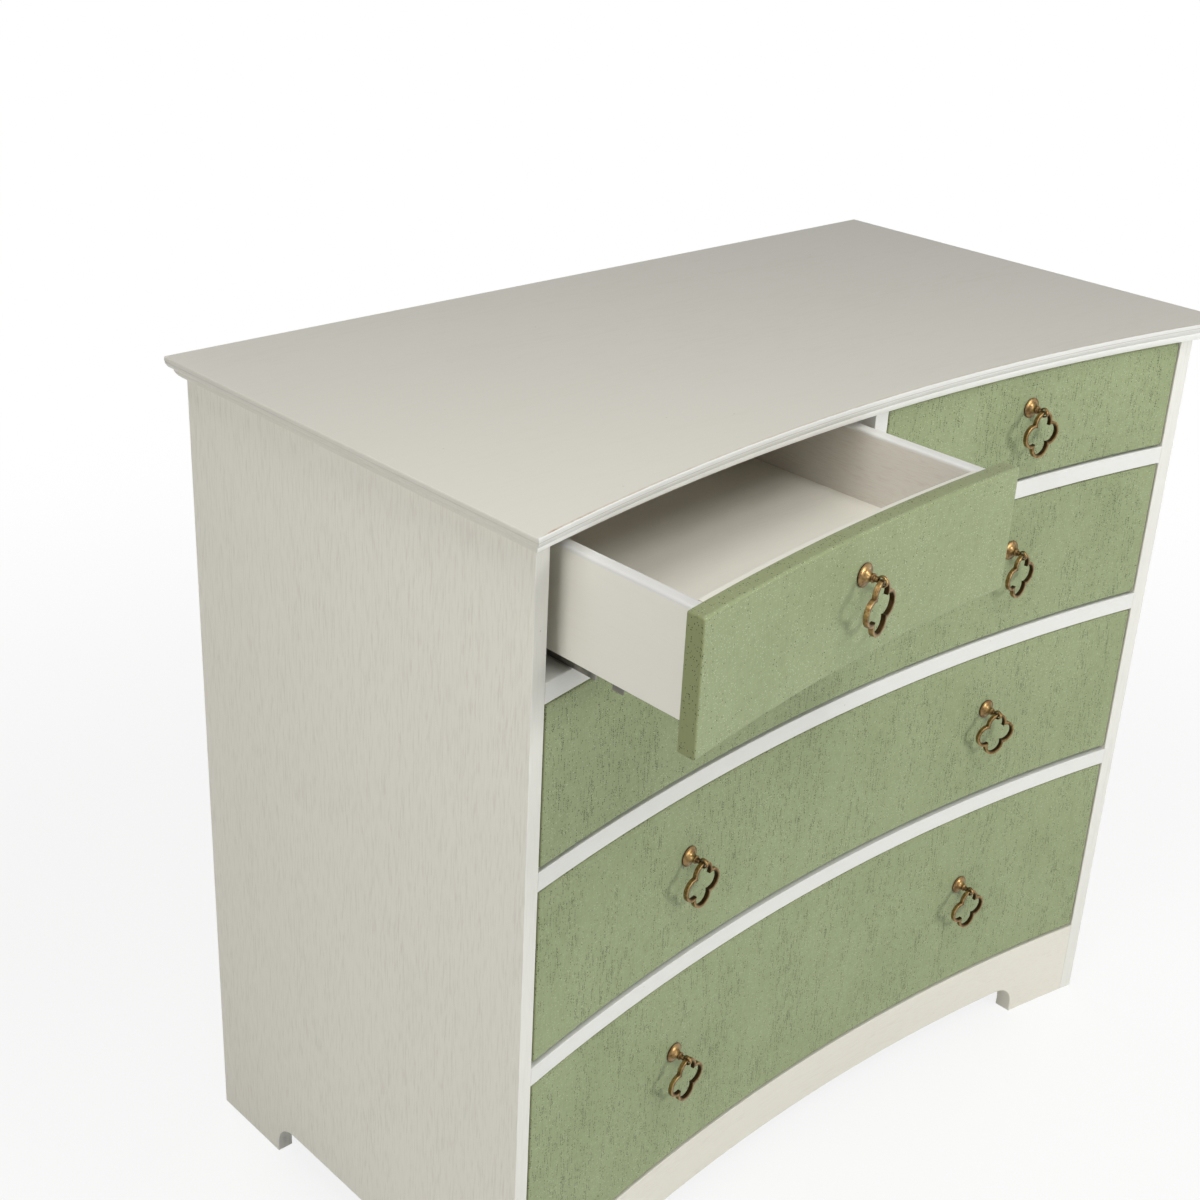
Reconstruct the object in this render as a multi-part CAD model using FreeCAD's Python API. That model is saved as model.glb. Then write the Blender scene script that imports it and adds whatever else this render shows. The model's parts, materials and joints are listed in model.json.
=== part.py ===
import FreeCAD, Part
import math
import os

# Chest of drawers with a hollow, inward curved front: two short drawers over three long ones.
# Millimetres, +X to the right, +Y to the back, +Z up.
# The origin is the middle of the footprint, on the floor. The upper left drawer stands pulled out.

# Carcass
CARCASS_WIDTH = 972.0
SIDE_DEPTH = 515.0
CHEST_HEIGHT = 914.0
FRONT_RADIUS = 2440.0
SIDE_THICKNESS = 18.0
PARTITION_THICKNESS = 19.5
BACK_THICKNESS = 8.0
BACK_REBATE = 9.0
BOTTOM_THICKNESS = 18.0
DUST_THICKNESS = 12.0
GLUE_GAP = 0.1

# Top and the moulding under it
TOP_THICKNESS = 13.0
TOP_OVERHANG = 23.5
TOP_NOSE_RADIUS = 3.0
TOP_UNDER_RADIUS = 8.5
MOULDING_HEIGHT = 13.5
MOULDING_WIDTH = 13.5
MOULDING_LIP = 3.2
MOULDING_FOOT = 1.2
MOULDING_SWELL = 1.3

# Front rails and the heights of the upper drawer openings, from the top down.
# The lowest row takes what is left.
RAIL_THICKNESS = 20.0
RAIL_DEPTH = 36.0
UPPER_OPENINGS = (124.4, 165.0, 193.0)

# Base
BASE_HEIGHT = 101.1
APRON_THICKNESS = 20.0
PLINTH_THICKNESS = 18.0
FOOT_LENGTH = 110.0
FOOT_ARCH_HEIGHT = 42.0
FOOT_ARCH_RADIUS = 30.0
CORNER_BLOCK = 40.0
CENTRE_FOOT = 60.0

# Drawers
FRONT_THICKNESS = 19.0
FRONT_EDGE_RADIUS = 1.5
FRONT_TOP_GAP = 1.2
FRONT_SIDE_GAP = 1.8
FRONT_FOOT_GAPS = (2.5, 3.0, 5.5, 3.0)
SUBFRONT_THICKNESS = 10.0
BOX_SIDE_INSET = 15.7
BOX_SIDE_THICKNESS = 13.0
BOX_EDGE_RADIUS = 2.5
BOX_TOP_DROP = 5.0
BOX_FOOT_RISE = 19.0
BOX_BACK_THICKNESS = 12.0
BOX_BOTTOM_THICKNESS = 6.0
BOX_BOTTOM_RISE = 23.0
BOX_BOTTOM_LAP = 6.0
BOX_BACK_CLEARANCE = 30.0
SHOWN_OPEN = 169.0

# Slides under each drawer box
SLIDE_INSET = 22.0
RUNNER_WIDTH = 10.0
RUNNER_FLANGE = 16.0
RUNNER_FRONT_CLEARANCE = 3.0
RUNNER_BACK_CLEARANCE = 15.0
SLIDE_SHEET = 1.5
SLIDE_GAP = 0.5
SLIDE_FOOT_RISE = 2.5
SLIDE_SETBACK = 85.0
SLIDE_TAB_LENGTH = 12.0
SLIDE_TAB_LEAD = 32.5

# Pulls: a turned post with an eye, and a four lobed ring that hangs in the eye
PULL_SPREAD = 241.0
PULL_RISE = 21.0
POST_BASE_RADIUS = 11.0
POST_RIM = 1.0
POST_BELL_RADIUS = 3.8
POST_BELL_HEIGHT = 8.5
POST_COLLAR = 1.2
POST_NECK_RADIUS = 2.8
POST_SEAT_GAP = 0.05
EYE_STANDOFF = 18.0
EYE_RADIUS = 5.4
EYE_HOLE_RADIUS = 3.5
EYE_THICKNESS = 3.6
SCREW_RADIUS = 2.0
SCREW_BORE_CLEARANCE = 0.05
SCREW_HOLE_CLEARANCE = 0.3
SCREW_GRIP = 6.5
SCREW_TIP_GAP = 0.5
SCREW_HEAD_RADIUS = 4.2
SCREW_HEAD_HEIGHT = 2.6
RING_LOBE_OFFSET = 12.7
RING_LOBE_RADIUS = 11.5
RING_STRAP = 3.4
RING_DEPTH = 4.6
RING_TURNS_DEG = {"upper_left_ring": -7.0, "second_right_ring": -9.0, "third_right_ring": 9.0}

# How far a cutting body reaches past what it cuts
OVERRUN = 60.0

# Worked out from the sizes above
HALF_WIDTH = CARCASS_WIDTH / 2
INNER_HALF = HALF_WIDTH - SIDE_THICKNESS
FRONT_Y = -SIDE_DEPTH / 2
BACK_Y = SIDE_DEPTH / 2
BACK_PANEL_Y = BACK_Y - BACK_THICKNESS
AXIS_Y = FRONT_Y - math.sqrt(FRONT_RADIUS ** 2 - HALF_WIDTH ** 2)
RAIL_BACK_Y = AXIS_Y + FRONT_RADIUS + RAIL_DEPTH
TOP_UNDER_Z = CHEST_HEIGHT - TOP_THICKNESS
OPENINGS_TOP_Z = TOP_UNDER_Z - MOULDING_HEIGHT
SUBFRONT_RADIUS = FRONT_RADIUS + FRONT_THICKNESS + GLUE_GAP
BOX_RADIUS = SUBFRONT_RADIUS + SUBFRONT_THICKNESS
BOX_BACK_Y = BACK_PANEL_Y - BOX_BACK_CLEARANCE
BOTTOM_UNDER_Z = BASE_HEIGHT - BOTTOM_THICKNESS
LOWEST_ROW = len(UPPER_OPENINGS)


def row_span(row):
    """Top and foot of one row's opening."""
    top = OPENINGS_TOP_Z - sum(UPPER_OPENINGS[:row]) - row * RAIL_THICKNESS
    foot = BASE_HEIGHT if row == LOWEST_ROW else top - UPPER_OPENINGS[row]
    return top, foot


def box(x0, x1, y0, y1, z0, z1):
    """A box between two corners."""
    return Part.makeBox(x1 - x0, y1 - y0, z1 - z0, FreeCAD.Vector(x0, y0, z0))


def arc_y(x, radius):
    """Depth of the front curve of this radius at x."""
    return AXIS_Y + math.sqrt(radius ** 2 - x ** 2)


def curve_edge(x0, x1, radius, z):
    """Edge along the front curve from x0 to x1."""
    xs = (x0, (x0 + x1) / 2, x1)
    points = [FreeCAD.Vector(x, arc_y(x, radius), z) for x in xs]
    return Part.Arc(*points).toShape()


def line_edge(start, end):
    """Straight edge between two points."""
    return Part.LineSegment(start, end).toShape()


def curved_board(front_radius, back_radius, x0, x1, z0, z1):
    """Board whose two faces both follow the front curve."""
    front = curve_edge(x0, x1, front_radius, z0)
    back = curve_edge(x1, x0, back_radius, z0)
    right = line_edge(front.Vertexes[-1].Point, back.Vertexes[0].Point)
    left = line_edge(back.Vertexes[-1].Point, front.Vertexes[0].Point)
    face = Part.Face(Part.Wire([front, right, back, left]))
    return face.extrude(FreeCAD.Vector(0, 0, z1 - z0))


def hollow_board(front_radius, back_y, x0, x1, z0, z1):
    """Board whose front follows the curve and whose back is straight."""
    front = curve_edge(x0, x1, front_radius, z0)
    corner_right = FreeCAD.Vector(x1, back_y, z0)
    corner_left = FreeCAD.Vector(x0, back_y, z0)
    edges = [front, line_edge(front.Vertexes[-1].Point, corner_right), line_edge(corner_right, corner_left)]
    edges.append(line_edge(corner_left, front.Vertexes[0].Point))
    return Part.Face(Part.Wire(edges)).extrude(FreeCAD.Vector(0, 0, z1 - z0))


def rounded(shape, radius, picks):
    """The shape with a round on each edge that picks(edge) chooses."""
    return shape.makeFillet(radius, [edge for edge in shape.Edges if picks(edge)])


def level_edge(edge, z):
    """Whether an edge lies at height z."""
    tolerance = GLUE_GAP
    return edge.BoundBox.ZMax - tolerance < z < edge.BoundBox.ZMin + tolerance


def at_back(edge):
    """Whether an edge lies in the back plane of the carcass."""
    return edge.BoundBox.YMin > BACK_Y - GLUE_GAP


def is_face_edge(edge, radius):
    """Whether both ends of an edge lie on the front curve of this radius."""
    ends = [vertex.Point for vertex in edge.Vertexes]
    return all(abs(math.hypot(p.x, p.y - AXIS_Y) - radius) < GLUE_GAP for p in ends)


def make_top_panel():
    """Top board with a round nose and a wide round under it, straight at the back."""
    reach = HALF_WIDTH + TOP_OVERHANG
    board = hollow_board(FRONT_RADIUS - TOP_OVERHANG, BACK_Y, -reach, reach, TOP_UNDER_Z, CHEST_HEIGHT)
    board = rounded(board, TOP_NOSE_RADIUS, lambda e: level_edge(e, CHEST_HEIGHT) and not at_back(e))
    return rounded(board, TOP_UNDER_RADIUS, lambda e: level_edge(e, TOP_UNDER_Z) and not at_back(e))


def moulding_profile(place):
    """Face of the bed moulding; place(out, up) gives the point that far out of the carcass and up."""
    lip_up = MOULDING_HEIGHT - MOULDING_LIP
    run = MOULDING_WIDTH - MOULDING_FOOT
    chord = math.hypot(run, lip_up)
    swell_out = (MOULDING_WIDTH + MOULDING_FOOT) / 2 + MOULDING_SWELL * lip_up / chord
    swell_up = lip_up / 2 - MOULDING_SWELL * run / chord
    tip = place(MOULDING_WIDTH, lip_up)
    foot = place(MOULDING_FOOT, 0)
    edges = [
        line_edge(place(0, 0), place(0, MOULDING_HEIGHT)),
        line_edge(place(0, MOULDING_HEIGHT), place(MOULDING_WIDTH, MOULDING_HEIGHT)),
        line_edge(place(MOULDING_WIDTH, MOULDING_HEIGHT), tip),
        Part.Arc(tip, place(swell_out, swell_up), foot).toShape(),
        line_edge(foot, place(0, 0)),
    ]
    return Part.Face(Part.Wire(edges))


def mitre_block():
    """Block between the two mitre planes, which holds the front length of the moulding."""
    inner = FreeCAD.Vector(-HALF_WIDTH, FRONT_Y, OPENINGS_TOP_Z - OVERRUN)
    out_x = -HALF_WIDTH - MOULDING_WIDTH
    outer = FreeCAD.Vector(out_x, arc_y(out_x, FRONT_RADIUS - MOULDING_WIDTH), inner.z)
    along = (outer - inner).normalize()
    far = inner + along * 2 * OVERRUN
    near = inner - along * 2 * OVERRUN
    corners = [near, far, FreeCAD.Vector(-far.x, far.y, far.z), FreeCAD.Vector(-near.x, near.y, near.z)]
    plan = Part.Face(Part.makePolygon(corners + corners[:1]))
    return plan.extrude(FreeCAD.Vector(0, 0, MOULDING_HEIGHT + 2 * OVERRUN))


def make_bed_moulding():
    """Swelled moulding under the top: a front length and two returns, mitred at the corners."""
    mitres = mitre_block()
    axis = FreeCAD.Vector(0, AXIS_Y, 0)
    turn = math.degrees(math.asin((HALF_WIDTH + OVERRUN) / FRONT_RADIUS))
    middle_y = arc_y(0, FRONT_RADIUS)
    middle = moulding_profile(lambda out, up: FreeCAD.Vector(0, middle_y - out, OPENINGS_TOP_Z + up))
    middle.rotate(axis, FreeCAD.Vector(0, 0, 1), -turn)
    front = middle.revolve(axis, FreeCAD.Vector(0, 0, 1), 2 * turn).common(mitres)
    run = FreeCAD.Vector(0, FRONT_Y - OVERRUN - BACK_Y, 0)
    lengths = [front]
    for side in (-1, 1):
        end = moulding_profile(
            lambda out, up: FreeCAD.Vector(side * (HALF_WIDTH + out), BACK_Y, OPENINGS_TOP_Z + up))
        lengths.append(end.extrude(run).cut(mitres))
    return Part.makeCompound([solid for length in lengths for solid in length.Solids])


def arch_cut(run_start, run_end, place):
    """Face of a flat arch with round upper corners; place(run, up) gives its points."""
    up, bend = FOOT_ARCH_HEIGHT, FOOT_ARCH_RADIUS
    lift = bend * math.sqrt(0.5)
    first = Part.Arc(place(run_start, up - bend), place(run_start + bend - lift, up - bend + lift),
                     place(run_start + bend, up))
    last = Part.Arc(place(run_end - bend, up), place(run_end - bend + lift, up - bend + lift),
                    place(run_end, up - bend))
    edges = [
        line_edge(place(run_start, -OVERRUN), place(run_start, up - bend)),
        first.toShape(),
        line_edge(place(run_start + bend, up), place(run_end - bend, up)),
        last.toShape(),
        line_edge(place(run_end, up - bend), place(run_end, -OVERRUN)),
        line_edge(place(run_end, -OVERRUN), place(run_start, -OVERRUN)),
    ]
    return Part.Face(Part.Wire(edges))


def make_side_panel(side):
    """Side panel down to the floor, rebated for the back and cut to a flat arch between its feet."""
    outer, inner = side * HALF_WIDTH, side * INNER_HALF
    x0, x1 = min(outer, inner), max(outer, inner)
    panel = hollow_board(FRONT_RADIUS, BACK_Y, x0, x1, 0, TOP_UNDER_Z)
    lap = inner + side * BACK_REBATE
    rebate = box(min(inner - side * OVERRUN, lap), max(inner - side * OVERRUN, lap), BACK_PANEL_Y,
                 BACK_Y + OVERRUN, BOTTOM_UNDER_Z, TOP_UNDER_Z + OVERRUN)
    arch = arch_cut(FRONT_Y + FOOT_LENGTH, BACK_Y - FOOT_LENGTH,
                    lambda run, up: FreeCAD.Vector(x0 - OVERRUN, run, up))
    return panel.cut(rebate).cut(arch.extrude(FreeCAD.Vector(SIDE_THICKNESS + 2 * OVERRUN, 0, 0)))


def make_back_panel():
    """Thin back let into the rebates of the sides."""
    reach = INNER_HALF + BACK_REBATE
    return box(-reach, reach, BACK_PANEL_Y, BACK_Y, BOTTOM_UNDER_Z, TOP_UNDER_Z)


def make_bottom_panel():
    """Floor of the carcass, behind the apron."""
    radius = FRONT_RADIUS + APRON_THICKNESS + GLUE_GAP
    return hollow_board(radius, BACK_PANEL_Y, -INNER_HALF, INNER_HALF, BOTTOM_UNDER_Z, BASE_HEIGHT)


def make_top_rail():
    """Front rail behind the moulding."""
    return hollow_board(FRONT_RADIUS, RAIL_BACK_Y, -INNER_HALF, INNER_HALF, OPENINGS_TOP_Z, TOP_UNDER_Z)


def make_rail(row):
    """Front rail below one row of drawers."""
    top = row_span(row)[1]
    return hollow_board(FRONT_RADIUS, RAIL_BACK_Y, -INNER_HALF, INNER_HALF, top - RAIL_THICKNESS, top)


def make_apron():
    """Curved base board under the lowest drawer, cut to a flat arch between its feet."""
    back_radius = FRONT_RADIUS + APRON_THICKNESS
    board = curved_board(FRONT_RADIUS, back_radius, -INNER_HALF, INNER_HALF, 0, BASE_HEIGHT)
    reach = HALF_WIDTH - FOOT_LENGTH
    arch = arch_cut(-reach, reach, lambda run, up: FreeCAD.Vector(run, FRONT_Y - OVERRUN, up))
    depth = arc_y(0, back_radius) - FRONT_Y + 2 * OVERRUN
    return board.cut(arch.extrude(FreeCAD.Vector(0, depth, 0)))


def make_back_plinth():
    """Base rail at the back, under the back panel."""
    return box(-INNER_HALF, INNER_HALF, BACK_Y - PLINTH_THICKNESS, BACK_Y, 0, BOTTOM_UNDER_Z)


def make_partition():
    """Upright between the two short drawers."""
    half = PARTITION_THICKNESS / 2
    return hollow_board(FRONT_RADIUS, BACK_PANEL_Y, -half, half, row_span(0)[1], OPENINGS_TOP_Z)


def make_dust_panels():
    """One board behind each front rail, level with its top."""
    boards = []
    for row in range(LOWEST_ROW):
        top = row_span(row)[1]
        boards.append(box(-INNER_HALF, INNER_HALF, RAIL_BACK_Y, BACK_PANEL_Y, top - DUST_THICKNESS, top))
    return Part.makeCompound(boards)


def make_corner_blocks():
    """Glue blocks in the four corners of the base."""
    blocks = []
    for side in (-1, 1):
        x0, x1 = sorted((side * INNER_HALF, side * (INNER_HALF - CORNER_BLOCK)))
        front_radius = FRONT_RADIUS + APRON_THICKNESS + GLUE_GAP
        back_y = arc_y(x0, front_radius) + CORNER_BLOCK
        blocks.append(hollow_board(front_radius, back_y, x0, x1, 0, BOTTOM_UNDER_Z))
        rear = BACK_Y - PLINTH_THICKNESS
        blocks.append(box(x0, x1, rear - CORNER_BLOCK, rear, 0, BOTTOM_UNDER_Z))
    return Part.makeCompound(blocks)


def make_centre_foot():
    """Foot that props the middle of the carcass floor."""
    half = CENTRE_FOOT / 2
    return box(-half, half, -half, half, 0, BOTTOM_UNDER_Z)


class Drawer:
    """One drawer: its place among the rows, the span of its front and the x of its pulls."""

    def __init__(self, name, row, x0, x1, pulls, shown_open=0.0):
        self.name = name
        self.row = row
        self.x0 = x0 + FRONT_SIDE_GAP
        self.x1 = x1 - FRONT_SIDE_GAP
        self.pulls = pulls
        self.shift = FreeCAD.Vector(0, -shown_open, 0)
        opening_top, opening_foot = row_span(row)
        self.top = opening_top - FRONT_TOP_GAP
        self.foot = opening_foot + FRONT_FOOT_GAPS[row]
        self.floor = opening_foot
        self.box_top = self.top - BOX_TOP_DROP
        self.box_foot = opening_foot + BOX_FOOT_RISE
        self.bottom_under = self.box_foot + BOX_BOTTOM_RISE
        self.bottom_top = self.bottom_under + BOX_BOTTOM_THICKNESS
        self.box_x0 = self.x0 + BOX_SIDE_INSET
        self.box_x1 = self.x1 - BOX_SIDE_INSET
        self.pull_z = (self.top + self.foot) / 2 + PULL_RISE

    def pull_frame(self, x):
        """Placement on the front's face at x: local X along the face, Y up, Z out of the face."""
        out_x, out_y = -x / FRONT_RADIUS, (AXIS_Y - arc_y(x, FRONT_RADIUS)) / FRONT_RADIUS
        place = FreeCAD.Matrix(-out_y, 0, out_x, x,
                               out_x, 0, out_y, arc_y(x, FRONT_RADIUS),
                               0, 1, 0, self.pull_z)
        return FreeCAD.Placement(place)

    def screw_holes(self):
        """Holes for the pulls' screws through the front and the board behind it."""
        reach = FRONT_THICKNESS + SUBFRONT_THICKNESS + OVERRUN
        holes = []
        for x in self.pulls.values():
            hole = Part.makeCylinder(SCREW_RADIUS + SCREW_HOLE_CLEARANCE, reach + OVERRUN,
                                     FreeCAD.Vector(0, 0, -reach))
            hole.Placement = self.pull_frame(x)
            holes.append(hole)
        return Part.makeCompound(holes)

    def make_front(self):
        """Curved front with its face edges eased."""
        back_radius = FRONT_RADIUS + FRONT_THICKNESS
        board = curved_board(FRONT_RADIUS, back_radius, self.x0, self.x1, self.foot, self.top)
        board = rounded(board, FRONT_EDGE_RADIUS, lambda e: is_face_edge(e, FRONT_RADIUS))
        return board.cut(self.screw_holes())

    def make_subfront(self):
        """Curved board of the drawer box, between its sides, that the front is fixed to."""
        board = curved_board(SUBFRONT_RADIUS, BOX_RADIUS, self.box_x0 + BOX_SIDE_THICKNESS,
                             self.box_x1 - BOX_SIDE_THICKNESS, self.box_foot, self.box_top)
        return board.cut(self.screw_holes())

    def make_sides(self):
        """Two sides of the box, rounded on top and grooved for the bottom."""
        lap = BOX_SIDE_THICKNESS - BOX_BOTTOM_LAP
        spans = ((self.box_x0, self.box_x0 + BOX_SIDE_THICKNESS),
                 (self.box_x1 - BOX_SIDE_THICKNESS, self.box_x1))
        bottom = box(self.box_x0 + lap, self.box_x1 - lap, FRONT_Y - OVERRUN, BOX_BACK_Y + OVERRUN,
                     self.bottom_under, self.bottom_top)
        sides = []
        for x0, x1 in spans:
            board = hollow_board(SUBFRONT_RADIUS, BOX_BACK_Y, x0, x1, self.box_foot, self.box_top)
            board = rounded(board, BOX_EDGE_RADIUS,
                            lambda e: level_edge(e, self.box_top) and e.Length > BOX_SIDE_THICKNESS * 2)
            sides.append(board.cut(bottom))
        return Part.makeCompound(sides)

    def make_back(self):
        """Back of the box, between the sides and on the bottom."""
        return box(self.box_x0 + BOX_SIDE_THICKNESS, self.box_x1 - BOX_SIDE_THICKNESS,
                   BOX_BACK_Y - BOX_BACK_THICKNESS, BOX_BACK_Y,
                   self.bottom_top, self.box_top)

    def make_bottom(self):
        """Bottom of the box, in the grooves of its sides."""
        lap = BOX_SIDE_THICKNESS - BOX_BOTTOM_LAP
        return hollow_board(BOX_RADIUS + GLUE_GAP, BOX_BACK_Y, self.box_x0 + lap, self.box_x1 - lap,
                            self.bottom_under, self.bottom_top)

    def slide_places(self):
        """Middle of each slide and the way to the nearer side of the drawer."""
        return ((self.box_x0 + SLIDE_INSET, -1), (self.box_x1 - SLIDE_INSET, 1))

    def make_slides(self):
        """Steel channels under the bottom that ride on the runners, each led by a locking tab."""
        half_in = RUNNER_WIDTH / 2 + SLIDE_GAP
        half_out = half_in + SLIDE_SHEET
        foot, top = self.floor + SLIDE_FOOT_RISE, self.bottom_under
        channels = []
        for x, outward in self.slide_places():
            tab_y = arc_y(x, SUBFRONT_RADIUS) + SLIDE_SETBACK
            leg_y = tab_y + SLIDE_TAB_LEAD
            plate = box(x - half_out, x + half_out, tab_y, BOX_BACK_Y, top - SLIDE_SHEET, top)
            legs = [box(side, side + SLIDE_SHEET, leg_y, BOX_BACK_Y, foot, top)
                    for side in (x - half_out, x + half_in)]
            tab_x0, tab_x1 = sorted((x + outward * half_in, x + outward * half_out))
            tab = box(tab_x0, tab_x1, tab_y, tab_y + SLIDE_TAB_LENGTH, foot, top)
            channels.append(plate.fuse(legs + [tab]).removeSplitter())
        return Part.makeCompound([solid for channel in channels for solid in channel.Solids])

    def make_runners(self):
        """Fixed steel runners of this drawer, standing on the rail and the board behind it."""
        top = self.bottom_under - SLIDE_SHEET - SLIDE_GAP
        back = BACK_PANEL_Y - RUNNER_BACK_CLEARANCE
        runners = []
        half_flange, half_web = RUNNER_FLANGE / 2, RUNNER_WIDTH / 2
        for x, _ in self.slide_places():
            front = arc_y(abs(x) - half_flange, BOX_RADIUS) + RUNNER_FRONT_CLEARANCE
            flange = box(x - half_flange, x + half_flange, front, back, self.floor, self.floor + SLIDE_SHEET)
            web = box(x - half_web, x + half_web, front, back, self.floor, top)
            runners.append(flange.fuse(web).removeSplitter())
        return [solid for runner in runners for solid in runner.Solids]

    def make_pull_posts(self):
        """Turned post of each pull with the screw that holds it."""
        solids = []
        for x in self.pulls.values():
            for solid in (make_post(), make_screw()):
                solid.Placement = self.pull_frame(x)
                solids.append(solid)
        return Part.makeCompound(solids)

    def make_ring(self, ring_name, x):
        """Ring of the pull at x, hanging in its eye and turned a little in it."""
        ring = make_ring_shape()
        turn = FreeCAD.Rotation(FreeCAD.Vector(0, 1, 0), -RING_TURNS_DEG.get(ring_name, 0.0))
        eye = FreeCAD.Placement(FreeCAD.Vector(0, 0, EYE_STANDOFF), turn)
        ring.Placement = self.pull_frame(x).multiply(eye)
        return ring

    def nodes(self):
        """Every node of the drawer, moved to where the drawer stands."""
        shapes = {
            self.name + "_front": self.make_front(),
            self.name + "_subfront": self.make_subfront(),
            self.name + "_sides": self.make_sides(),
            self.name + "_back": self.make_back(),
            self.name + "_bottom": self.make_bottom(),
            self.name + "_slides": self.make_slides(),
            self.name + "_pull_posts": self.make_pull_posts(),
        }
        for ring_name, x in self.pulls.items():
            shapes[ring_name] = self.make_ring(ring_name, x)
        for shape in shapes.values():
            shape.translate(self.shift)
        return shapes


def make_post():
    """Bell shaped post with a collar, a neck and a flat eye, bored for its screw. Local Z points out."""
    neck_top = EYE_STANDOFF - EYE_HOLE_RADIUS - (EYE_RADIUS - EYE_HOLE_RADIUS) / 2
    collar_top = POST_BELL_HEIGHT + POST_COLLAR
    flare = POST_BASE_RADIUS - POST_BELL_RADIUS
    rise = POST_BELL_HEIGHT - POST_RIM
    bow = math.sqrt(0.5)

    def at(radius, height):
        return FreeCAD.Vector(radius, 0, height)

    bell = Part.Arc(at(POST_BASE_RADIUS, POST_RIM),
                    at(POST_BASE_RADIUS - flare * bow, POST_BELL_HEIGHT - rise * bow),
                    at(POST_BELL_RADIUS, POST_BELL_HEIGHT))
    edges = [
        line_edge(at(0, POST_SEAT_GAP), at(POST_BASE_RADIUS, POST_SEAT_GAP)),
        line_edge(at(POST_BASE_RADIUS, POST_SEAT_GAP), at(POST_BASE_RADIUS, POST_RIM)),
        bell.toShape(),
        line_edge(at(POST_BELL_RADIUS, POST_BELL_HEIGHT), at(POST_BELL_RADIUS, collar_top)),
        line_edge(at(POST_BELL_RADIUS, collar_top), at(POST_NECK_RADIUS, collar_top)),
        line_edge(at(POST_NECK_RADIUS, collar_top), at(POST_NECK_RADIUS, neck_top)),
        line_edge(at(POST_NECK_RADIUS, neck_top), at(0, neck_top)),
        line_edge(at(0, neck_top), at(0, POST_SEAT_GAP)),
    ]
    turned = Part.Face(Part.Wire(edges)).revolve(FreeCAD.Vector(0, 0, 0), FreeCAD.Vector(0, 0, 1), 360)
    across = FreeCAD.Vector(1, 0, 0)
    start = FreeCAD.Vector(-EYE_THICKNESS / 2, 0, EYE_STANDOFF)
    eye = Part.makeCylinder(EYE_RADIUS, EYE_THICKNESS, start, across)
    hole = Part.makeCylinder(EYE_HOLE_RADIUS, EYE_THICKNESS + 2 * OVERRUN, start - across * OVERRUN, across)
    bore = Part.makeCylinder(SCREW_RADIUS + SCREW_BORE_CLEARANCE, SCREW_GRIP + SCREW_TIP_GAP)
    return turned.fuse(eye).cut(hole).cut(bore)


def make_screw():
    """Screw from inside the drawer into the post. Local Z points out of the front."""
    seat = -(BOX_RADIUS - FRONT_RADIUS)
    shank = Part.makeCylinder(SCREW_RADIUS, SCREW_GRIP - seat, FreeCAD.Vector(0, 0, seat))
    head_end = FreeCAD.Vector(0, 0, seat - SCREW_HEAD_HEIGHT)
    head = Part.makeCylinder(SCREW_HEAD_RADIUS, SCREW_HEAD_HEIGHT, head_end)
    return shank.fuse(head)


def lobe_wire(radius, z):
    """Outline of four equal lobes around the ring's middle, the top lobe's strap at the eye."""
    offset = RING_LOBE_OFFSET
    drop = RING_LOBE_OFFSET + RING_LOBE_RADIUS
    cusp = (offset + math.sqrt(2 * radius ** 2 - offset ** 2)) / 2
    edges = []
    for quarter in range(4):
        turn = FreeCAD.Rotation(FreeCAD.Vector(0, 0, 1), 90 * quarter)
        lobe = [(cusp, -cusp), (offset + radius, 0), (cusp, cusp)]
        points = [turn.multVec(FreeCAD.Vector(x, y, 0)) + FreeCAD.Vector(0, -drop, z) for x, y in lobe]
        edges.append(Part.Arc(*points).toShape())
    return Part.Wire(edges)


def make_ring_shape():
    """Four lobed ring of flat strap. Local X along its width, Y up, Z out; the eye is at the origin."""
    half = RING_STRAP / 2
    back = -RING_DEPTH / 2
    outer = Part.Face(lobe_wire(RING_LOBE_RADIUS + half, back)).extrude(FreeCAD.Vector(0, 0, RING_DEPTH))
    inner = Part.Face(lobe_wire(RING_LOBE_RADIUS - half, back - OVERRUN))
    return outer.cut(inner.extrude(FreeCAD.Vector(0, 0, RING_DEPTH + 2 * OVERRUN)))


def make_drawers():
    """Two short drawers over three long ones."""
    half = PARTITION_THICKNESS / 2
    middle = (INNER_HALF + half) / 2
    drawers = [
        Drawer("upper_left", 0, -INNER_HALF, -half, {"upper_left_ring": -middle}, SHOWN_OPEN),
        Drawer("upper_right", 0, half, INNER_HALF, {"upper_right_ring": middle}),
    ]
    for row, name in enumerate(("second", "third", "lowest"), start=1):
        pulls = {name + "_left_ring": -PULL_SPREAD, name + "_right_ring": PULL_SPREAD}
        drawers.append(Drawer(name, row, -INNER_HALF, INNER_HALF, pulls))
    return drawers


def make_nodes():
    """Every node of the chest by name."""
    drawers = make_drawers()
    runners = [runner for drawer in drawers for runner in drawer.make_runners()]
    shapes = {
        "top_panel": make_top_panel(),
        "bed_moulding": make_bed_moulding(),
        "side_panel_left": make_side_panel(-1),
        "side_panel_right": make_side_panel(1),
        "back_panel": make_back_panel(),
        "bottom_panel": make_bottom_panel(),
        "top_rail": make_top_rail(),
        "rail_upper": make_rail(0),
        "rail_middle": make_rail(1),
        "rail_lower": make_rail(2),
        "apron": make_apron(),
        "back_plinth": make_back_plinth(),
        "partition": make_partition(),
        "dust_panels": make_dust_panels(),
        "corner_blocks": make_corner_blocks(),
        "centre_foot": make_centre_foot(),
        "cabinet_runners": Part.makeCompound(runners),
    }
    for drawer in drawers:
        shapes.update(drawer.nodes())
    return shapes


def main():
    """Write one STEP file per node."""
    os.makedirs("parts", exist_ok=True)
    for name, shape in make_nodes().items():
        shape.exportStep(os.path.join("parts", name + ".step"))
        state = "valid" if shape.isValid() else "INVALID"
        print(name, len(shape.Solids), "solids", round(shape.Volume), "mm3", state)


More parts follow.
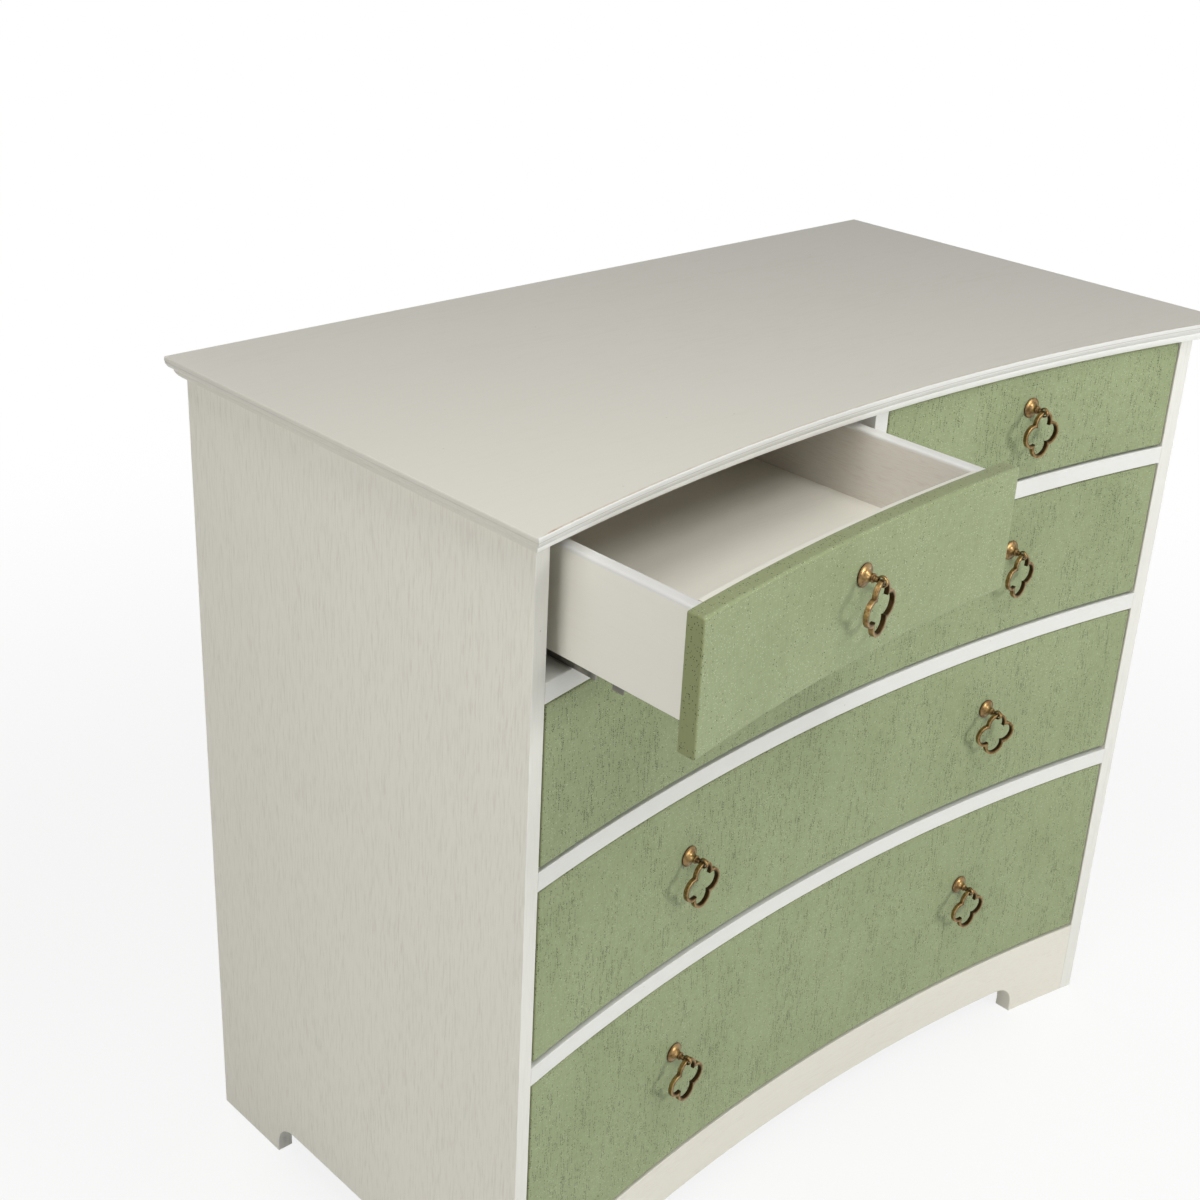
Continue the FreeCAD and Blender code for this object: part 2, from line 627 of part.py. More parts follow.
if __name__ == "__main__":
    main()
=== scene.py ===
"""Looks of a chest of drawers with a hollow, inward curved front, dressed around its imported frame.

Lengths are metres in the frame's axes: +X to the right, +Y to the back, +Z up.
Every new surface is a grid of points: a closed outline (columns) repeated along a path (rows).
"""
import json
import logging
import math
from collections.abc import Callable
from dataclasses import dataclass
from enum import Enum

import bmesh
import bpy
import numpy as np
from mathutils import Matrix, Vector

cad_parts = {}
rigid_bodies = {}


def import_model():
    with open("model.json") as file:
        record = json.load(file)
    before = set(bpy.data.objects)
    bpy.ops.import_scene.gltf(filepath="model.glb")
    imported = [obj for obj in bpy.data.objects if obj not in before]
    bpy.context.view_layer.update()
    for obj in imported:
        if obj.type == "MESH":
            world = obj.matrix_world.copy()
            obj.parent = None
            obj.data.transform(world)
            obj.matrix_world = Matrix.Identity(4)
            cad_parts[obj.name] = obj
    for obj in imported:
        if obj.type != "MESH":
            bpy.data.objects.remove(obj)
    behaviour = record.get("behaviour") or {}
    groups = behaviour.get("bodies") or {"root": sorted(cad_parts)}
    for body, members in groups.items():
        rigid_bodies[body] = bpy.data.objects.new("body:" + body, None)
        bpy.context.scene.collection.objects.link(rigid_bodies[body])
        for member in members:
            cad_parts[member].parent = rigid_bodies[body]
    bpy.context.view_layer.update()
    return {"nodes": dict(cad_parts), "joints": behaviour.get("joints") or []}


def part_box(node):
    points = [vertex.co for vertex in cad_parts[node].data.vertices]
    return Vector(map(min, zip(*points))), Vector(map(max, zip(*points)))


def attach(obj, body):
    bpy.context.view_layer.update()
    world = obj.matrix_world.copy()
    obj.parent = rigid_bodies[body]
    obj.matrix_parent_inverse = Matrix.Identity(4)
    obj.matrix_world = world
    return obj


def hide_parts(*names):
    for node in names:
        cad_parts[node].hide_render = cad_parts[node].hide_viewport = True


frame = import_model()

LOG = logging.getLogger("chest")
Array = np.ndarray
Pair = tuple[float, float]
Triple = tuple[float, float, float]
MM = 0.001
IMAGE_PIXELS = 1200
SENSOR_MM = 36.0
# Distance of a guard point from the corner that it keeps, and the radius that stands for a point on an axis.
GUARD = 2.0 * MM
POLE = 0.02 * MM
# Least area that a normal is divided by, and least cosine between a face and the way that it looks.
LEAST_AREA = 1e-12
FACING = 0.9
# Name of the texture map of the boards, and the middle of a noise node's values.
CLOTH_MAP = "cloth"
NOISE_MIDDLE = 0.5
UP = Vector((0, 0, 1))


class Grain(Enum):
    """Way that the grain of a board runs."""

    ALONG_X = 0
    ALONG_Y = 1
    ALONG_Z = 2


class Side(Enum):
    """Left or right end of the chest, as the sign of its x."""

    LEFT = -1
    RIGHT = 1


def linear(red: float, green: float, blue: float) -> Triple:
    """Turn a display colour of 0 to 255 into linear light, by the standard curve of screens.

    Args:
        red, green, blue: the colour as a screen shows it.

    Returns:
        The three linear values, 0 to 1.
    """
    shown = np.array([red, green, blue]) / 255.0
    light = np.where(shown <= 0.04045, shown / 12.92, ((shown + 0.055) / 1.055) ** 2.4)
    return tuple(float(value) for value in light)


# Shapes


@dataclass(frozen=True)
class HollowFront:
    """The inward curve of the front in plan: a circle about an upright axis in front of the chest."""

    radius: float = 2.440
    axis_y: float = 0.0

    @classmethod
    def from_frame(cls) -> "HollowFront":
        """The curve through the front corners of the side panels."""
        low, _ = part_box("side_panel_left")
        return cls(axis_y=low.y - math.sqrt(cls.radius ** 2 - low.x ** 2))

    def depth(self, x: Array, back: Array | float = 0.0) -> Array:
        """Place on y of the circle that lies `back` behind the face, at x."""
        return self.axis_y + np.sqrt((self.radius + back) ** 2 - x ** 2)


def rounded_section(low: Pair, high: Pair, radii: Array, inset: float, steps: int) -> Array:
    """Closed outline of a rectangle with round corners, counter-clockwise from its low corner.

    Each corner is a quarter circle: centre plus radius times (cos, sin) of an angle that runs on by 90
    degrees. A guard point stands on the straight run at each side of a corner, so that a mark on the corner
    stays there.

    Args:
        low, high: corners of the rectangle before the inset.
        radii: the four corner radii, from the low corner round.
        inset: how far the outline is drawn in.
        steps: straight pieces in one corner.

    Returns:
        Points as rows of two values.
    """
    longest_guard = 0.3
    low_in, high_in = np.array(low) + inset, np.array(high) - inset
    corners = np.array([[low_in[0], low_in[1]], [high_in[0], low_in[1]], [high_in[0], high_in[1]],
                        [low_in[0], high_in[1]]])
    inward = np.array([[1, 1], [-1, 1], [-1, -1], [1, -1]])
    radius = np.maximum(np.asarray(radii) - inset, POLE)[:, None]
    centres = corners + inward * radius
    quarter = np.linspace(0, math.pi / 2, steps + 1)[None, :]
    turn = math.pi + np.arange(4)[:, None] * math.pi / 2 + quarter
    arcs = centres[:, None, :] + radius[:, None, :] * np.stack([np.cos(turn), np.sin(turn)], -1)
    ends, starts = arcs[:, -1:], np.roll(arcs[:, :1], -1, 0)
    share = np.minimum(GUARD / np.linalg.norm(starts - ends, axis=2, keepdims=True), longest_guard)
    guards = np.concatenate([ends + share * (starts - ends), starts - share * (starts - ends)], 1)
    return np.concatenate([arcs, guards], 1).reshape(-1, 2)


def corner_marks(steps: int) -> Array:
    """Which corner each point of a rounded section belongs to.

    Args:
        steps: straight pieces in one corner.

    Returns:
        The corner's number from 0, and -1 for the guard points.
    """
    marks = np.full((4, steps + 3), -1)
    marks[:, :steps + 1] = np.arange(4)[:, None]
    return marks.reshape(-1)


def upper_edge(steps: int) -> Array:
    """One for the points of a rounded section that lie on its upper edge, from corner 1 to corner 2."""
    place, corner = np.arange(4 * (steps + 3)), steps + 3
    return ((place >= corner) & (place <= 2 * corner + steps)).astype(float)


def creased(corners: Array, ease: float) -> Array:
    """Put two points in place of each corner of a closed outline.

    Args:
        corners: the outline's corners, as rows of two values.
        ease: how far before and after a corner the two points lie along its edges.

    Returns:
        The points, twice as many.
    """
    before, after = np.roll(corners, 1, 0) - corners, np.roll(corners, -1, 0) - corners
    pair = np.stack([before, after], 1)
    pair = corners[:, None, :] + ease * pair / np.linalg.norm(pair, axis=2, keepdims=True)
    return pair.reshape(-1, 2)


def eased_run(start: float, end: float, ease: float, stations: int, steps: int) -> tuple[Array, Array]:
    """Stations along a board with round ends: place = ease times (1 - sin), inset = ease times (1 - cos).

    Args:
        start, end: ends of the board.
        ease: radius of the round at each end.
        stations: stations on the straight run.
        steps: stations on each round.

    Returns:
        The places along the board and the inset of the outline at each.
    """
    turn = np.linspace(math.pi / 2, 0, steps + 1)[:-1]
    out, inset = ease * (1 - np.sin(turn)), ease * (1 - np.cos(turn))
    straight = np.linspace(start + ease, end - ease, stations)
    if stations > 2:
        straight[1], straight[-2] = straight[0] + GUARD, straight[-1] - GUARD
    places = np.concatenate([start + out, straight, (end - out)[::-1]])
    return places, np.concatenate([inset, np.zeros(stations), inset[::-1]])


@dataclass
class Shell:
    """A closed surface: rows of a closed outline, capped at both ends or closed on itself.

    points holds rows by columns by three values. lengths, if given, holds the texture place of each point,
    with one column more than points, because the last column meets the first. cap_lengths holds those of the
    two caps.
    """

    points: Array
    ring: bool = False
    lengths: Array | None = None
    cap_lengths: tuple[Array, Array] | None = None

    def faces(self) -> tuple[Array, Array]:
        """Join neighbouring rows and columns by quads.

        Returns:
            Vertex numbers of the quads, and of the same quads on the wider texture grid.
        """
        rows, columns = self.points.shape[:2]
        row = np.arange(rows if self.ring else rows - 1)[:, None]
        column = np.arange(columns)[None, :]
        below, beside = (row + 1) % rows, (column + 1) % columns
        quads = np.stack(np.broadcast_arrays(row * columns + column, row * columns + beside,
                                             below * columns + beside, below * columns + column), -1)
        wide = columns + 1
        grid = np.stack(np.broadcast_arrays(row * wide + column, row * wide + column + 1,
                                            below * wide + column + 1, below * wide + column), -1)
        return quads.reshape(-1, 4), grid.reshape(-1, 4)

    def build(self, name: str, marks: dict[str, Array] | None = None) -> bpy.types.Object:
        """Make the mesh, its faces outwards and its normals weighted by face area.

        Args:
            name: name of the piece.
            marks: named values per point, rows by columns, for the finish to read.

        Returns:
            The new object, at the origin.
        """
        rows, columns = self.points.shape[:2]
        verts = self.points.reshape(-1, 3)
        quads, grid = self.faces()
        caps = [] if self.ring else [np.arange(columns)[::-1], np.arange(columns) + (rows - 1) * columns]
        corners = verts[quads]
        area = np.cross(corners[:, 2] - corners[:, 0], corners[:, 3] - corners[:, 1]) / 2
        turned = np.sum((corners.mean(1) - verts.mean(0)) * area) < 0
        if turned:
            quads, grid, area = quads[:, ::-1], grid[:, ::-1], -area
            caps = [cap[::-1] for cap in caps]
        normals = np.zeros_like(verts)
        for corner in range(4):
            np.add.at(normals, quads[:, corner], area)
        for cap in caps:
            ring = verts[cap]
            normals[cap] += np.cross(ring - ring[0], np.roll(ring, -1, 0) - ring[0]).sum(0) / 2
        normals /= np.maximum(np.linalg.norm(normals, axis=1, keepdims=True), LEAST_AREA)
        mesh = bpy.data.meshes.new(name)
        mesh.from_pydata(verts.tolist(), [], quads.tolist() + [cap.tolist() for cap in caps])
        if self.lengths is not None:
            flat = self.lengths.reshape(-1, 2)
            ends = [self._cap_order(lengths, place, turned)
                    for place, lengths in enumerate(self.cap_lengths or ())]
            loops = np.concatenate([flat[grid].reshape(-1, 2)] + ends)
            mesh.uv_layers.new(name=CLOTH_MAP).data.foreach_set("uv", loops.astype(np.float32).ravel())
        for mark, values in (marks or {}).items():
            layer = mesh.attributes.new(mark, "FLOAT", "POINT")
            layer.data.foreach_set("value", values.astype(np.float32).ravel())
        mesh.polygons.foreach_set("use_smooth", np.ones(len(mesh.polygons), bool))
        mesh.normals_split_custom_set_from_vertices(normals.tolist())
        mesh.update()
        piece = bpy.data.objects.new(name, mesh)
        bpy.context.scene.collection.objects.link(piece)
        return piece

    @staticmethod
    def _cap_order(lengths: Array, place: int, turned: bool) -> Array:
        """Texture places of a cap in its corners' order: the first cap runs backwards, unless turned."""
        return lengths[::-1] if (place == 0) != turned else lengths


@dataclass(frozen=True)
class Board:
    """A board with round edges: a rectangle of rise and depth carried along its run, then bent into place.

    run, rise and depth are the low and high limits. radii are the rounds of the long edges, from the low rise
    and low depth round to the low rise and high depth. ease is the round of the ends.
    """

    run: Pair
    rise: Pair
    depth: Pair
    radii: tuple[float, float, float, float]
    ease: float
    stations: int = 2
    steps: int = 3

    def shell(self, bend: Callable[[Array, Array, Array], Array]) -> Shell:
        """Work out the board's surface.

        Args:
            bend: takes run, rise and depth of every point and gives its place.

        Returns:
            The surface, with texture places in metres: along the run, and round the section.
        """
        places, insets = eased_run(*self.run, self.ease, self.stations, self.steps)
        low, high = (self.rise[0], self.depth[0]), (self.rise[1], self.depth[1])
        sections = np.stack([rounded_section(low, high, np.array(self.radii), inset, self.steps)
                             for inset in insets])
        run = np.broadcast_to(places[:, None], sections.shape[:2])
        points = bend(run, sections[..., 0], sections[..., 1])
        closed = np.concatenate([sections, sections[:, :1]], 1)
        around = np.cumsum(np.linalg.norm(np.diff(closed, axis=1), axis=2), 1)
        around = np.concatenate([np.zeros((len(places), 1)), around], 1)
        lengths = np.stack([np.broadcast_to(places[:, None], around.shape), around + self.rise[0]], -1)
        ends = tuple(np.stack([places[row] + section[:, 1], section[:, 0]], -1)
                     for row, section in ((0, sections[0]), (-1, sections[-1])))
        return Shell(points, lengths=lengths, cap_lengths=ends)


def lathe(profile: Array, turns: int, place: Matrix) -> Shell:
    """Turn a profile about its axis: (radius cos, radius sin, height), then put it in place.

    Args:
        profile: rows of radius and height; the ends are near the axis.
        turns: points round the axis.
        place: matrix from the lathe's axes to the frame.

    Returns:
        The turned surface.
    """
    angle = np.linspace(0, 2 * math.pi, turns, endpoint=False)[None, :]
    radius, height = profile[:, :1], np.broadcast_to(profile[:, 1:], (len(profile), turns))
    local = np.stack([radius * np.cos(angle), radius * np.sin(angle), height], -1)
    return Shell(moved(local, place))


def moved(points: Array, place: Matrix) -> Array:
    """Points of a grid after a matrix."""
    matrix = np.array(place)
    return points @ matrix[:3, :3].T + matrix[:3, 3]


# Shader bench


class Wire:
    """A shader socket that takes part in Python expressions; each operator adds a Math node."""

    def __init__(self, bench: "Bench", socket: bpy.types.NodeSocket) -> None:
        """Keep the socket and the bench that it belongs to."""
        self.bench = bench
        self.socket = socket

    def math(self, operation: str, other: "Wire | float" = 0.0, flip: bool = False) -> "Wire":
        """Math node of this socket and another value, in the other order if flip is set."""
        first, second = (other, self) if flip else (self, other)
        return self.bench.add("ShaderNodeMath", {"operation": operation}, {0: first, 1: second})

    def __add__(self, other: "Wire | float") -> "Wire":
        """Sum."""
        return self.math("ADD", other)

    def __radd__(self, other: float) -> "Wire":
        """Sum, number first."""
        return self.math("ADD", other, flip=True)

    def __sub__(self, other: "Wire | float") -> "Wire":
        """Difference."""
        return self.math("SUBTRACT", other)

    def __rsub__(self, other: float) -> "Wire":
        """Difference, number first."""
        return self.math("SUBTRACT", other, flip=True)

    def __mul__(self, other: "Wire | float") -> "Wire":
        """Product."""
        return self.math("MULTIPLY", other)

    def __rmul__(self, other: float) -> "Wire":
        """Product, number first."""
        return self.math("MULTIPLY", other, flip=True)

    def __truediv__(self, other: "Wire | float") -> "Wire":
        """Quotient."""
        return self.math("DIVIDE", other)

    def __rtruediv__(self, other: float) -> "Wire":
        """Quotient, number first."""
        return self.math("DIVIDE", other, flip=True)

    def rise(self, start: float, end: float) -> "Wire":
        """Smooth step from zero at start to one at end."""
        sockets = {"Value": self, "From Min": start, "From Max": end}
        return self.bench.add("ShaderNodeMapRange", {"interpolation_type": "SMOOTHSTEP"}, sockets)


class Bench:
    """Node bench of one material or world; every node comes from add()."""

    def __init__(self, owner: bpy.types.Material | bpy.types.World) -> None:
        """Clear the owner's nodes.

        Args:
            owner: the material or world that the nodes belong to.
        """
        self.owner = owner
        owner.use_nodes = True
        self.tree = owner.node_tree
        self.tree.nodes.clear()

    def add(self, kind: str, settings: dict | None = None, sockets: dict | None = None,
            out: int | str = 0) -> Wire:
        """Add a node.

        Args:
            kind: the node's type.
            settings: values set on the node first, such as its operation.
            sockets: values or links of its inputs, by name or number.
            out: the output that is wanted.

        Returns:
            That output.
        """
        node = self.tree.nodes.new(kind)
        for key, value in (settings or {}).items():
            setattr(node, key, value)
        for key, value in (sockets or {}).items():
            if isinstance(value, Wire):
                self.tree.links.new(value.socket, node.inputs[key])
            else:
                node.inputs[key].default_value = value
        return Wire(self, node.outputs[out] if node.outputs else None)

    def stretched(self, start: Wire, stretch: Triple, shift: Triple) -> Wire:
        """A place, stretched along each axis and then moved."""
        sockets = {0: start, 1: stretch, 2: shift}
        return self.add("ShaderNodeVectorMath", {"operation": "MULTIPLY_ADD"}, sockets)

    def in_piece(self, stretch: Triple, shift: Triple = (0.0, 0.0, 0.0)) -> Wire:
        """Place of a point in its object's own axes, stretched and then moved."""
        return self.stretched(self.add("ShaderNodeTexCoord", out="Object"), stretch, shift)

    def on_cloth(self, stretch: Triple, shift: Triple = (0.0, 0.0, 0.0)) -> Wire:
        """Place of a point on the cloth's map, stretched and then moved."""
        return self.stretched(self.add("ShaderNodeUVMap", {"uv_map": CLOTH_MAP}), stretch, shift)

    def noise(self, place: Wire, detail: float = 2.0, rough: float = 0.5) -> Wire:
        """Value noise about one half, one wave to a unit of place."""
        sockets = {"Vector": place, "Scale": 1.0, "Detail": detail, "Roughness": rough}
        return self.add("ShaderNodeTexNoise", sockets=sockets)

    def axes(self, vector: Wire) -> tuple[Wire, Wire, Wire]:
        """Take a vector apart.

        Args:
            vector: the vector or colour.

        Returns:
            Its three parts.
        """
        first = self.add("ShaderNodeSeparateXYZ", sockets={0: vector})
        outputs = first.socket.node.outputs
        return first, Wire(self, outputs[1]), Wire(self, outputs[2])

    def mark(self, name: str) -> Wire:
        """Value of a named mark on the piece's points, zero where it has none."""
        return self.add("ShaderNodeAttribute", {"attribute_name": name}, out="Fac")

    def dots(self, across: Wire, up: Wire, pitch: Pair, density: Wire, seed: float) -> Wire:
        """Scattered oval dots of mixed sizes, at most one in each cell of a grid.

        A cell's three random numbers say whether it has a dot and where: the dot is there if the first number
        is below the density, and its mask falls from one to zero with the squared distance from its centre.
        The dot's size comes from the later digits of the first number.

        Args:
            across, up: place on the cloth in metres.
            pitch: width and height of a cell.
            density: share of the cells that have a dot.
            seed: shifts the random numbers.

        Returns:
            The mask, zero to one.
        """
        wander, least, digits, rim, sure = 0.3, 0.35, 57.0, (0.05, 0.22), (0.0, 0.03)
        corner = (1.0 - wander) / 2
        columns, rows = across * (1.0 / pitch[0]), up * (1.0 / pitch[1])
        column, row = columns.math("FLOOR"), rows.math("FLOOR")
        cell = self.add("ShaderNodeCombineXYZ", sockets={0: column, 1: row, 2: seed})
        chance = self.add("ShaderNodeTexWhiteNoise", {"noise_dimensions": "3D"}, {"Vector": cell},
                          out="Color")
        first, second, third = self.axes(chance)
        beside = columns - column - second * wander - corner
        above = rows - row - third * wander - corner
        size = (first * digits).math("FRACT") * (1.0 - least) + least
        near = 1.0 - ((beside * beside + above * above) / size).rise(*rim)
        return near * (density - first).rise(*sure)

    def blend(self, amount: Wire, first: Wire | Triple, second: Wire | Triple) -> Wire:
        """Mix of two colours, from the first at zero to the second at one."""
        ends = [value if isinstance(value, Wire) else (*value, 1.0) for value in (first, second)]
        return self.add("ShaderNodeMix", {"data_type": "RGBA"}, {0: amount, 6: ends[0], 7: ends[1]}, out=2)

    def relief(self, height: Wire, depth: float) -> Wire:
        """Bump of a height from zero to one, its full depth in metres."""
        return self.add("ShaderNodeBump", sockets={"Height": height, "Distance": depth, "Strength": 1.0})

    def surface(self, **sockets: Wire | float) -> None:
        """Principled surface with these inputs, joined to the material's output.

        Args:
            sockets: the inputs by name, in which an underscore stands for a space.
        """
        named = {key.replace("_", " "): value for key, value in sockets.items()}
        shader = self.add("ShaderNodeBsdfPrincipled", sockets=named)
        self.add("ShaderNodeOutputMaterial", sockets={"Surface": shader})


@dataclass(frozen=True)
class BrushedPaint:
    """Off-white paint over wood whose grain was brushed out, so that fine lines run along it.

    A name that ends in per_metre says how fine a pattern is, and one that ends in cut is the start and end of
    a smooth step through it.
    """

    name: str
    pale: Triple
    shade: Triple
    grain: Grain
    lines_per_metre: float = 560.0
    line_length: float = 0.032
    line_strength: float = 0.50
    line_cut: Pair = (0.40, 0.78)
    line_depth: float = 0.10 * MM
    line_dullness: float = 0.12
    patchiness: float = 0.70
    patch_fineness: float = 0.10
    patch_shift: Triple = (7.3, 2.1, 4.9)
    patch_cut: Pair = (0.25, 0.75)
    mottle: float = 0.20
    mottles_per_metre: float = 9.0
    roughness: float = 0.42
    gloss: float = 0.2
    # Colour of the rim mark on front and upper edges: the rails' white, which some finishes set brighter or
    # darker as painted light and shade.
    rim: Triple = linear(226, 226, 222)
    rim_lines: float = 0.5
    pore: Triple = linear(150, 134, 112)
    pores_per_metre: float = 34.0
    pore_cut: Pair = (0.014, 0.04)
    pore_chance_cut: Pair = (0.66, 0.72)
    pore_strength: float = 0.4
    pore_dip: float = 0.6
    # Grey of the thin line in the groove under the top's nose.
    grime: Triple = linear(166, 160, 150)
    bare: Triple = linear(168, 138, 102)
    bare_per_metre: float = 90.0
    bare_cut: Pair = (0.35, 0.62)
    bare_least: float = 0.4
    bare_dullness: float = 0.2
    grit_per_metre: float = 900.0
    grit_height: float = 0.12

    def material(self) -> bpy.types.Material:
        """Lines are noise stretched along the grain and cut to its upper part, under a slow mottle.

        Pores are rare dots from the cells of a Voronoi pattern. Marks on the points change the paint: rim
        gives front and upper edges a colour of their own, set by each finish: the rails' whiter paint with a
        painted highlight on the top's nose, painted light on the moulding, and painted highlight and shade on
        the drawer sides' top edges. A second mark greys a groove, and edge lets bare wood through.

        Returns:
            The paint's material.
        """
        bench = Bench(bpy.data.materials.new(self.name))
        stretch = [self.lines_per_metre] * 3
        stretch[self.grain.value] = 1.0 / self.line_length
        broad_stretch = tuple(self.patch_fineness * value for value in stretch)
        fine = bench.noise(bench.in_piece(tuple(stretch)), detail=3.0, rough=0.6)
        broad = bench.noise(bench.in_piece(broad_stretch, self.patch_shift)).rise(*self.patch_cut)
        lines = fine.rise(*self.line_cut) * (broad * self.patchiness + (1.0 - self.patchiness))
        mottle = bench.noise(bench.in_piece((self.mottles_per_metre,) * 3), detail=3.0, rough=0.6)
        amount = lines * self.line_strength + (mottle - NOISE_MIDDLE) * self.mottle
        rim = bench.blend(amount * self.rim_lines, self.rim, self.shade)
        colour = bench.blend(bench.mark("rim"), bench.blend(amount, self.pale, self.shade), rim)
        # A mark greys the groove under the nose.
        colour = bench.blend(bench.mark("grime"), colour, self.grime)
        cells = {"Vector": bench.in_piece((1.0, 1.0, 1.0)), "Scale": self.pores_per_metre}
        cell = bench.add("ShaderNodeTexVoronoi", sockets=cells, out="Color")
        spots = 1.0 - Wire(bench, cell.socket.node.outputs["Distance"]).rise(*self.pore_cut)
        pores = spots * bench.axes(cell)[0].rise(*self.pore_chance_cut)
        colour = bench.blend(pores * self.pore_strength, colour, self.pore)
        rubbed = bench.noise(bench.in_piece((self.bare_per_metre,) * 3), detail=3.0, rough=0.7)
        worn = bench.mark("edge") * (rubbed.rise(*self.bare_cut) * (1.0 - self.bare_least) + self.bare_least)
        colour = bench.blend(worn, colour, self.bare)
        grit = bench.noise(bench.in_piece((self.grit_per_metre,) * 3), detail=1.0)
        height = (1.0 - lines) + grit * self.grit_height - pores * self.pore_dip
        rough = lines * self.line_dullness + worn * self.bare_dullness + self.roughness
        bench.surface(Base_Color=colour, Roughness=rough, Specular_IOR_Level=self.gloss,
                      Normal=bench.relief(height, self.line_depth))
        return bench.owner


@dataclass(frozen=True)
class LacqueredLinen:
    """Sage linen glued round a board: plain weave, slubs, dark pinholes in broken columns, bright specks.

    A name that ends in waves says how many waves of noise a metre has along and across the cloth, and one
    that ends in shift or seed moves a pattern to a place of its own. One that ends in cut is the start and
    end of a smooth step, and one that ends in share is a share of the cells that have a dot.
    """

    name: str = "lacquered_linen"
    sage: Triple = linear(150, 161, 123)
    deep: Triple = linear(128, 140, 100)
    gap: Triple = linear(42, 48, 26)
    speck: Triple = linear(200, 208, 176)
    # Colour of painted shade on the ends and upper edge, where the cloth folds round the board.
    fold: Triple = linear(124, 128, 86)
    threads_per_metre: float = 600.0
    weft_weight: float = 0.7
    weave_depth: float = 0.14 * MM
    warp_waves: Triple = (560.0, 60.0, 1.0)
    weft_waves: Triple = (70.0, 640.0, 1.0)
    weft_shift: Triple = (3.1, 0.0, 5.0)
    slow_waves: Triple = (9.0, 6.0, 1.0)
    slow_shift: Triple = (1.7, 8.2, 0.0)
    cloud_waves: Triple = (75.0, 55.0, 1.0)
    cloud_shift: Triple = (5.3, 2.2, 7.0)
    band_waves: Triple = (38.0, 7.0, 1.0)
    band_shift: Triple = (6.1, 2.9, 4.0)
    band_cut: Pair = (0.36, 0.60)
    fray_waves: Triple = (1100.0, 800.0, 1.0)
    fray_shift: Triple = (2.0, 6.0, 1.0)
    fray: float = 0.6 * MM
    pinhole: Pair = (1.2 * MM, 1.9 * MM)
    pinhole_seed: float = 3.0
    lane_seed: float = 2.0
    lane_step: float = 7.31
    dashes_per_metre: float = 45.0
    dash_cut: Pair = (0.52, 0.64)
    dash_share: float = 0.85
    slow_cut: Pair = (0.45, 0.8)
    slow_share: float = 0.07
    least_share: float = 0.025
    fold_share: float = 0.10
    sparkle: Pair = (1.25 * MM, 1.05 * MM)
    sparkle_seed: float = 8.0
    bright_cut: Pair = (0.7, 0.3)
    bright_share: float = 0.07
    # The arris lightens the upper corner: worn specks and a painted highlight.
    arris_share: float = 0.10
    sparse_share: float = 0.035
    speck_share: float = 0.035
    speck_strength: float = 0.75
    arris_strength: float = 0.05
    fold_strength: float = 0.8
    warp_tone: float = 0.95
    weft_tone: float = 0.85
    cloud_tone: float = 0.4
    slow_tone: float = 0.6
    weave_tone: float = 0.3
    base_tone: float = 0.13
    weave_height: float = 0.4
    warp_height: float = 0.8
    weft_height: float = 0.6
    hole_dip: float = 0.9
    speck_height: float = 0.3
    roughness: float = 0.48
    hole_dullness: float = 0.2
    speck_shine: float = 0.12
    gloss: float = 0.2

    def material(self) -> bpy.types.Material:
        """Weave is a sum of sines along both threads, and slubs are noise stretched along them.

        Pinholes and specks are scattered dots, their places frayed by a fine noise. The pinholes crowd in
        broken columns one cell wide, from a noise that is read at the column's number, inside broad patches.
        Three marks on the points set the pinholes' share, lighten the upper corner with worn specks and a
        painted highlight, and darken the ends and upper edge, where the cloth folds round the board, with
        painted shade.

        Returns:
            The linen's material.
        """
        bench = Bench(bpy.data.materials.new(self.name))
        across, up, _ = bench.axes(bench.on_cloth((1.0, 1.0, 1.0)))
        slubs, arris, fold = bench.mark("slubs"), bench.mark("arris"), bench.mark("fold")
        turn = math.pi * self.threads_per_metre
        over, under = ((way * turn).math("SINE").math("ABSOLUTE") for way in (across, up))
        weave = over * (1.0 - self.weft_weight) + under * self.weft_weight
        warp = bench.noise(bench.on_cloth(self.warp_waves), detail=3.0, rough=0.65)
        weft = bench.noise(bench.on_cloth(self.weft_waves, self.weft_shift), detail=3.0, rough=0.65)
        slow = bench.noise(bench.on_cloth(self.slow_waves, self.slow_shift), detail=3.0, rough=0.55)
        clouds = bench.noise(bench.on_cloth(self.cloud_waves, self.cloud_shift), detail=3.0, rough=0.6)
        bands = bench.noise(bench.on_cloth(self.band_waves, self.band_shift))
        fuzz = bench.noise(bench.on_cloth(self.fray_waves, self.fray_shift))
        frayed = (fuzz - NOISE_MIDDLE) * self.fray
        beside = across + frayed
        column = (beside * (1.0 / self.pinhole[0])).math("FLOOR")
        lane = bench.add("ShaderNodeCombineXYZ", sockets={
            0: column * self.lane_step, 1: up * self.dashes_per_metre, 2: self.lane_seed})
        dashes = bench.noise(lane, detail=1.0).rise(*self.dash_cut) * bands.rise(*self.band_cut)
        density = dashes * self.dash_share + slow.rise(*self.slow_cut) * self.slow_share + self.least_share
        holes = bench.dots(beside, up - frayed, self.pinhole, density * slubs + fold * self.fold_share,
                           self.pinhole_seed)
        share = (arris * self.arris_share + slow.rise(*self.bright_cut) * self.bright_share
                 + (1.0 - slubs) * self.sparse_share + self.speck_share)
        lights = bench.dots(across - frayed, up + frayed, self.sparkle, share * (1.0 - fold),
                            self.sparkle_seed)
        threads = (warp - NOISE_MIDDLE) * self.warp_tone + (weft - NOISE_MIDDLE) * self.weft_tone
        broad = (clouds - NOISE_MIDDLE) * self.cloud_tone + (slow - NOISE_MIDDLE) * self.slow_tone
        tone = threads + broad + weave * self.weave_tone + self.base_tone
        colour = bench.blend(tone.rise(0.0, 1.0), self.sage, self.deep)
        # Lighter upper corner: worn specks and a painted highlight.
        colour = bench.blend(arris * self.arris_strength, colour, self.speck)
